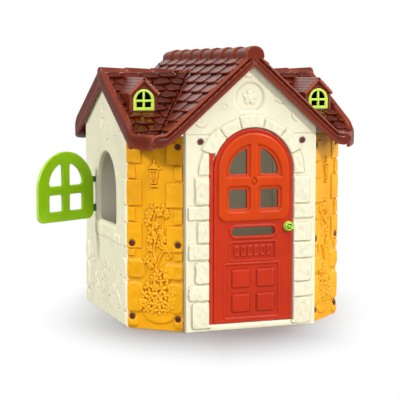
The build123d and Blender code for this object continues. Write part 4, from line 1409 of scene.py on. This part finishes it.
def painted_floor_shade(net):
    """0 beside the house to 1 where its painted shade ends: wide in front and behind, narrow
    beside.
    """
    where = net.add("TexCoord", "Object")
    mirrored = net.add("VectorMath", "Vector", {0: where}, operation="ABSOLUTE")

    def beyond(place, outward, start, fade):
        """Squared share of the way through the fading border on one side."""
        out = net.add("VectorMath", "Value", {0: place, 1: outward}, operation="DOT_PRODUCT")
        return net.math("POWER", net.ramp(out, start, start + fade), 2.0)

    total = net.math("MAXIMUM", beyond(mirrored, *SHADE_FRONT), beyond(mirrored, *SHADE_CORNER))
    for flank in SHADE_FLANKS:
        total = net.math("ADD", total, beyond(where, *flank))
    return net.math("SQRT", total)


def build_stage():
    """Floor that is lit near the house and has painted shade there: a darker grey that fades into
    plain white to the eye away from it.
    """
    mesh = bpy.data.meshes.new("floor")
    corners = [(x * FLOOR_HALF, y * FLOOR_HALF, 0) for x, y in ((-1, -1), (1, -1), (1, 1), (-1, 1))]
    mesh.from_pydata(corners, [], [(0, 1, 2, 3)])
    floor = add_object("floor", mesh)
    material = bpy.data.materials.new("floor_white")
    net = Net(material)
    # painted shade: near the house the floor is a darker grey, which fades into white along the
    # shape of the painted shade
    near = net.nodes["Principled BSDF"]
    net.fill(near, {"Roughness": 0.9, "Specular IOR Level": 0.0,
                    "Base Color": (0.43, 0.43, 0.44, 1)})
    dim = net.add("BsdfDiffuse", "BSDF", {"Color": (0.40, 0.40, 0.40, 1)})
    far = net.add("Emission", "Emission")
    fade = net.ramp(painted_floor_shade(net), *SHADE_BAND, curve="SMOOTHSTEP")
    seen = net.mix_shaders(fade, near.outputs["BSDF"], far)
    surface = net.mix_shaders(net.add("LightPath", "Is Camera Ray"), dim, seen)
    net.fill(net.nodes["Material Output"], {"Surface": surface})
    mesh.materials.append(material)
    return floor


# Two bright softboxes behind the house, each bounded on two axes, and the dim rest.
SOFTBOXES = ((("Y", 0.74, 0.90), ("Z", 0.20, 0.36), 1.15),
             (("X", 0.72, 0.92), ("Z", -0.20, 0.10), 1.25))
WORLD_BASE = 0.24


def build_world():
    """White to the eye; as a light it has two softboxes and is dim elsewhere."""
    world = bpy.data.worlds.new("studio")
    bpy.context.scene.world = world
    net = Net(world)
    towards = net.add("TexCoord", "Generated")
    glow = WORLD_BASE
    for *edges, brightness in SOFTBOXES:
        box = brightness
        for axis, dark, bright in edges:
            place = net.add("SeparateXYZ", axis, {"Vector": towards})
            box = net.math("MULTIPLY", net.ramp(place, dark, bright, curve="SMOOTHSTEP"), box)
        glow = net.math("ADD", box, glow)
    soft = net.nodes["Background"]
    net.fill(soft, {"Color": (1.0, 0.99, 0.98, 1), "Strength": glow})
    white = net.add("Background", "Background", {"Color": (1, 1, 1, 1)})
    surface = net.mix_shaders(net.add("LightPath", "Is Camera Ray"), soft.outputs["Background"],
                              white)
    net.fill(net.nodes["World Output"], {"Surface": surface})


def sun(name, towards, strength, spread, group):
    lamp = bpy.data.lights.new(name, "SUN")
    lamp.energy = strength
    lamp.angle = math.radians(spread)
    obj = add_object(name, lamp)
    obj.rotation_euler = (-Vector(towards)).to_track_quat("-Z", "Y").to_euler()
    obj.light_linking.receiver_collection = group


def receivers(name, objects, state):
    """Collection that keeps a lamp off these objects, or on them only."""
    group = bpy.data.collections.new(name)
    bpy.context.scene.collection.children.link(group)
    for obj in objects:
        group.objects.link(obj)
    for entry in group.collection_objects:
        entry.light_linking.link_state = state
    return group


def build_lights(floor):
    faced = [bpy.data.objects[name] for name in
             ("front_wall_moulding", "door_leaf_moulding", "door_frame_moulding")]
    far = [bpy.data.objects[name] for name in
           ("back_wall_moulding", "right_wall_moulding", "corner_moulding_back_right")]
    off_floor = receivers("off_floor", [floor], "EXCLUDE")
    near_left = receivers("near_left", [floor, *faced, *far], "EXCLUDE")
    off_front = receivers("off_front", [floor, *faced], "EXCLUDE")
    floor_only = receivers("floor_only", [floor], "INCLUDE")
    # Each sun: direction towards it, strength, spread in degrees, what it falls on.
    sun("key", (0.78, -1.08, 0.70), 1.74, 6, off_floor)
    sun("front_fill", (-0.15, -1.0, 0.34), 0.80, 36, off_floor)
    sun("overhead", (0.05, -0.30, 1.0), 1.3, 28, off_floor)
    sun("left_fill", (-1.0, -0.40, 0.66), 2.2, 10, near_left)
    sun("right_fill", (1.0, -0.45, 0.12), 1.0, 14, off_front)
    sun("floor_light", (0.0, -0.1, 1.0), 2.9, 150, floor_only)
    lamp = bpy.data.lights.new("inner_glow", "POINT")
    lamp.energy = 0.85
    lamp.shadow_soft_size = 0.25
    add_object("inner_glow", lamp).location = (0.0, 0.1, 0.85)


# Camera fitted to the photo: place in metres, lens in millimetres, angles in degrees.
CAMERA_PLACE = (-2.2147, -6.1152, 1.2332)
CAMERA_LENS = 112.4
CAMERA_AZIMUTH = -19.54
CAMERA_ELEVATION = -5.88


def build_camera():
    camera = bpy.data.cameras.new("camera")
    camera.lens = CAMERA_LENS
    camera.sensor_width = 36.0
    obj = add_object("camera", camera)
    azimuth, elevation = math.radians(CAMERA_AZIMUTH), math.radians(CAMERA_ELEVATION)
    forward = Vector((-math.sin(azimuth) * math.cos(elevation),
                      math.cos(azimuth) * math.cos(elevation), math.sin(elevation)))
    obj.location = CAMERA_PLACE
    obj.rotation_euler = forward.to_track_quat("-Z", "Y").to_euler()
    bpy.context.scene.camera = obj


build_camera()
build_front_wall()
build_back_wall()
build_side_walls()
build_corner_panels()
build_main_slopes()
build_wing_slopes()
build_main_rakes()
build_wing_rakes()
build_ridges()
build_dormers()
build_door()
build_door_frame()
build_hinge_block()
build_knob()
build_shutters()
finish_kept_nodes()
build_world()
build_lights(build_stage())
bpy.context.scene.view_settings.view_transform = "Standard"
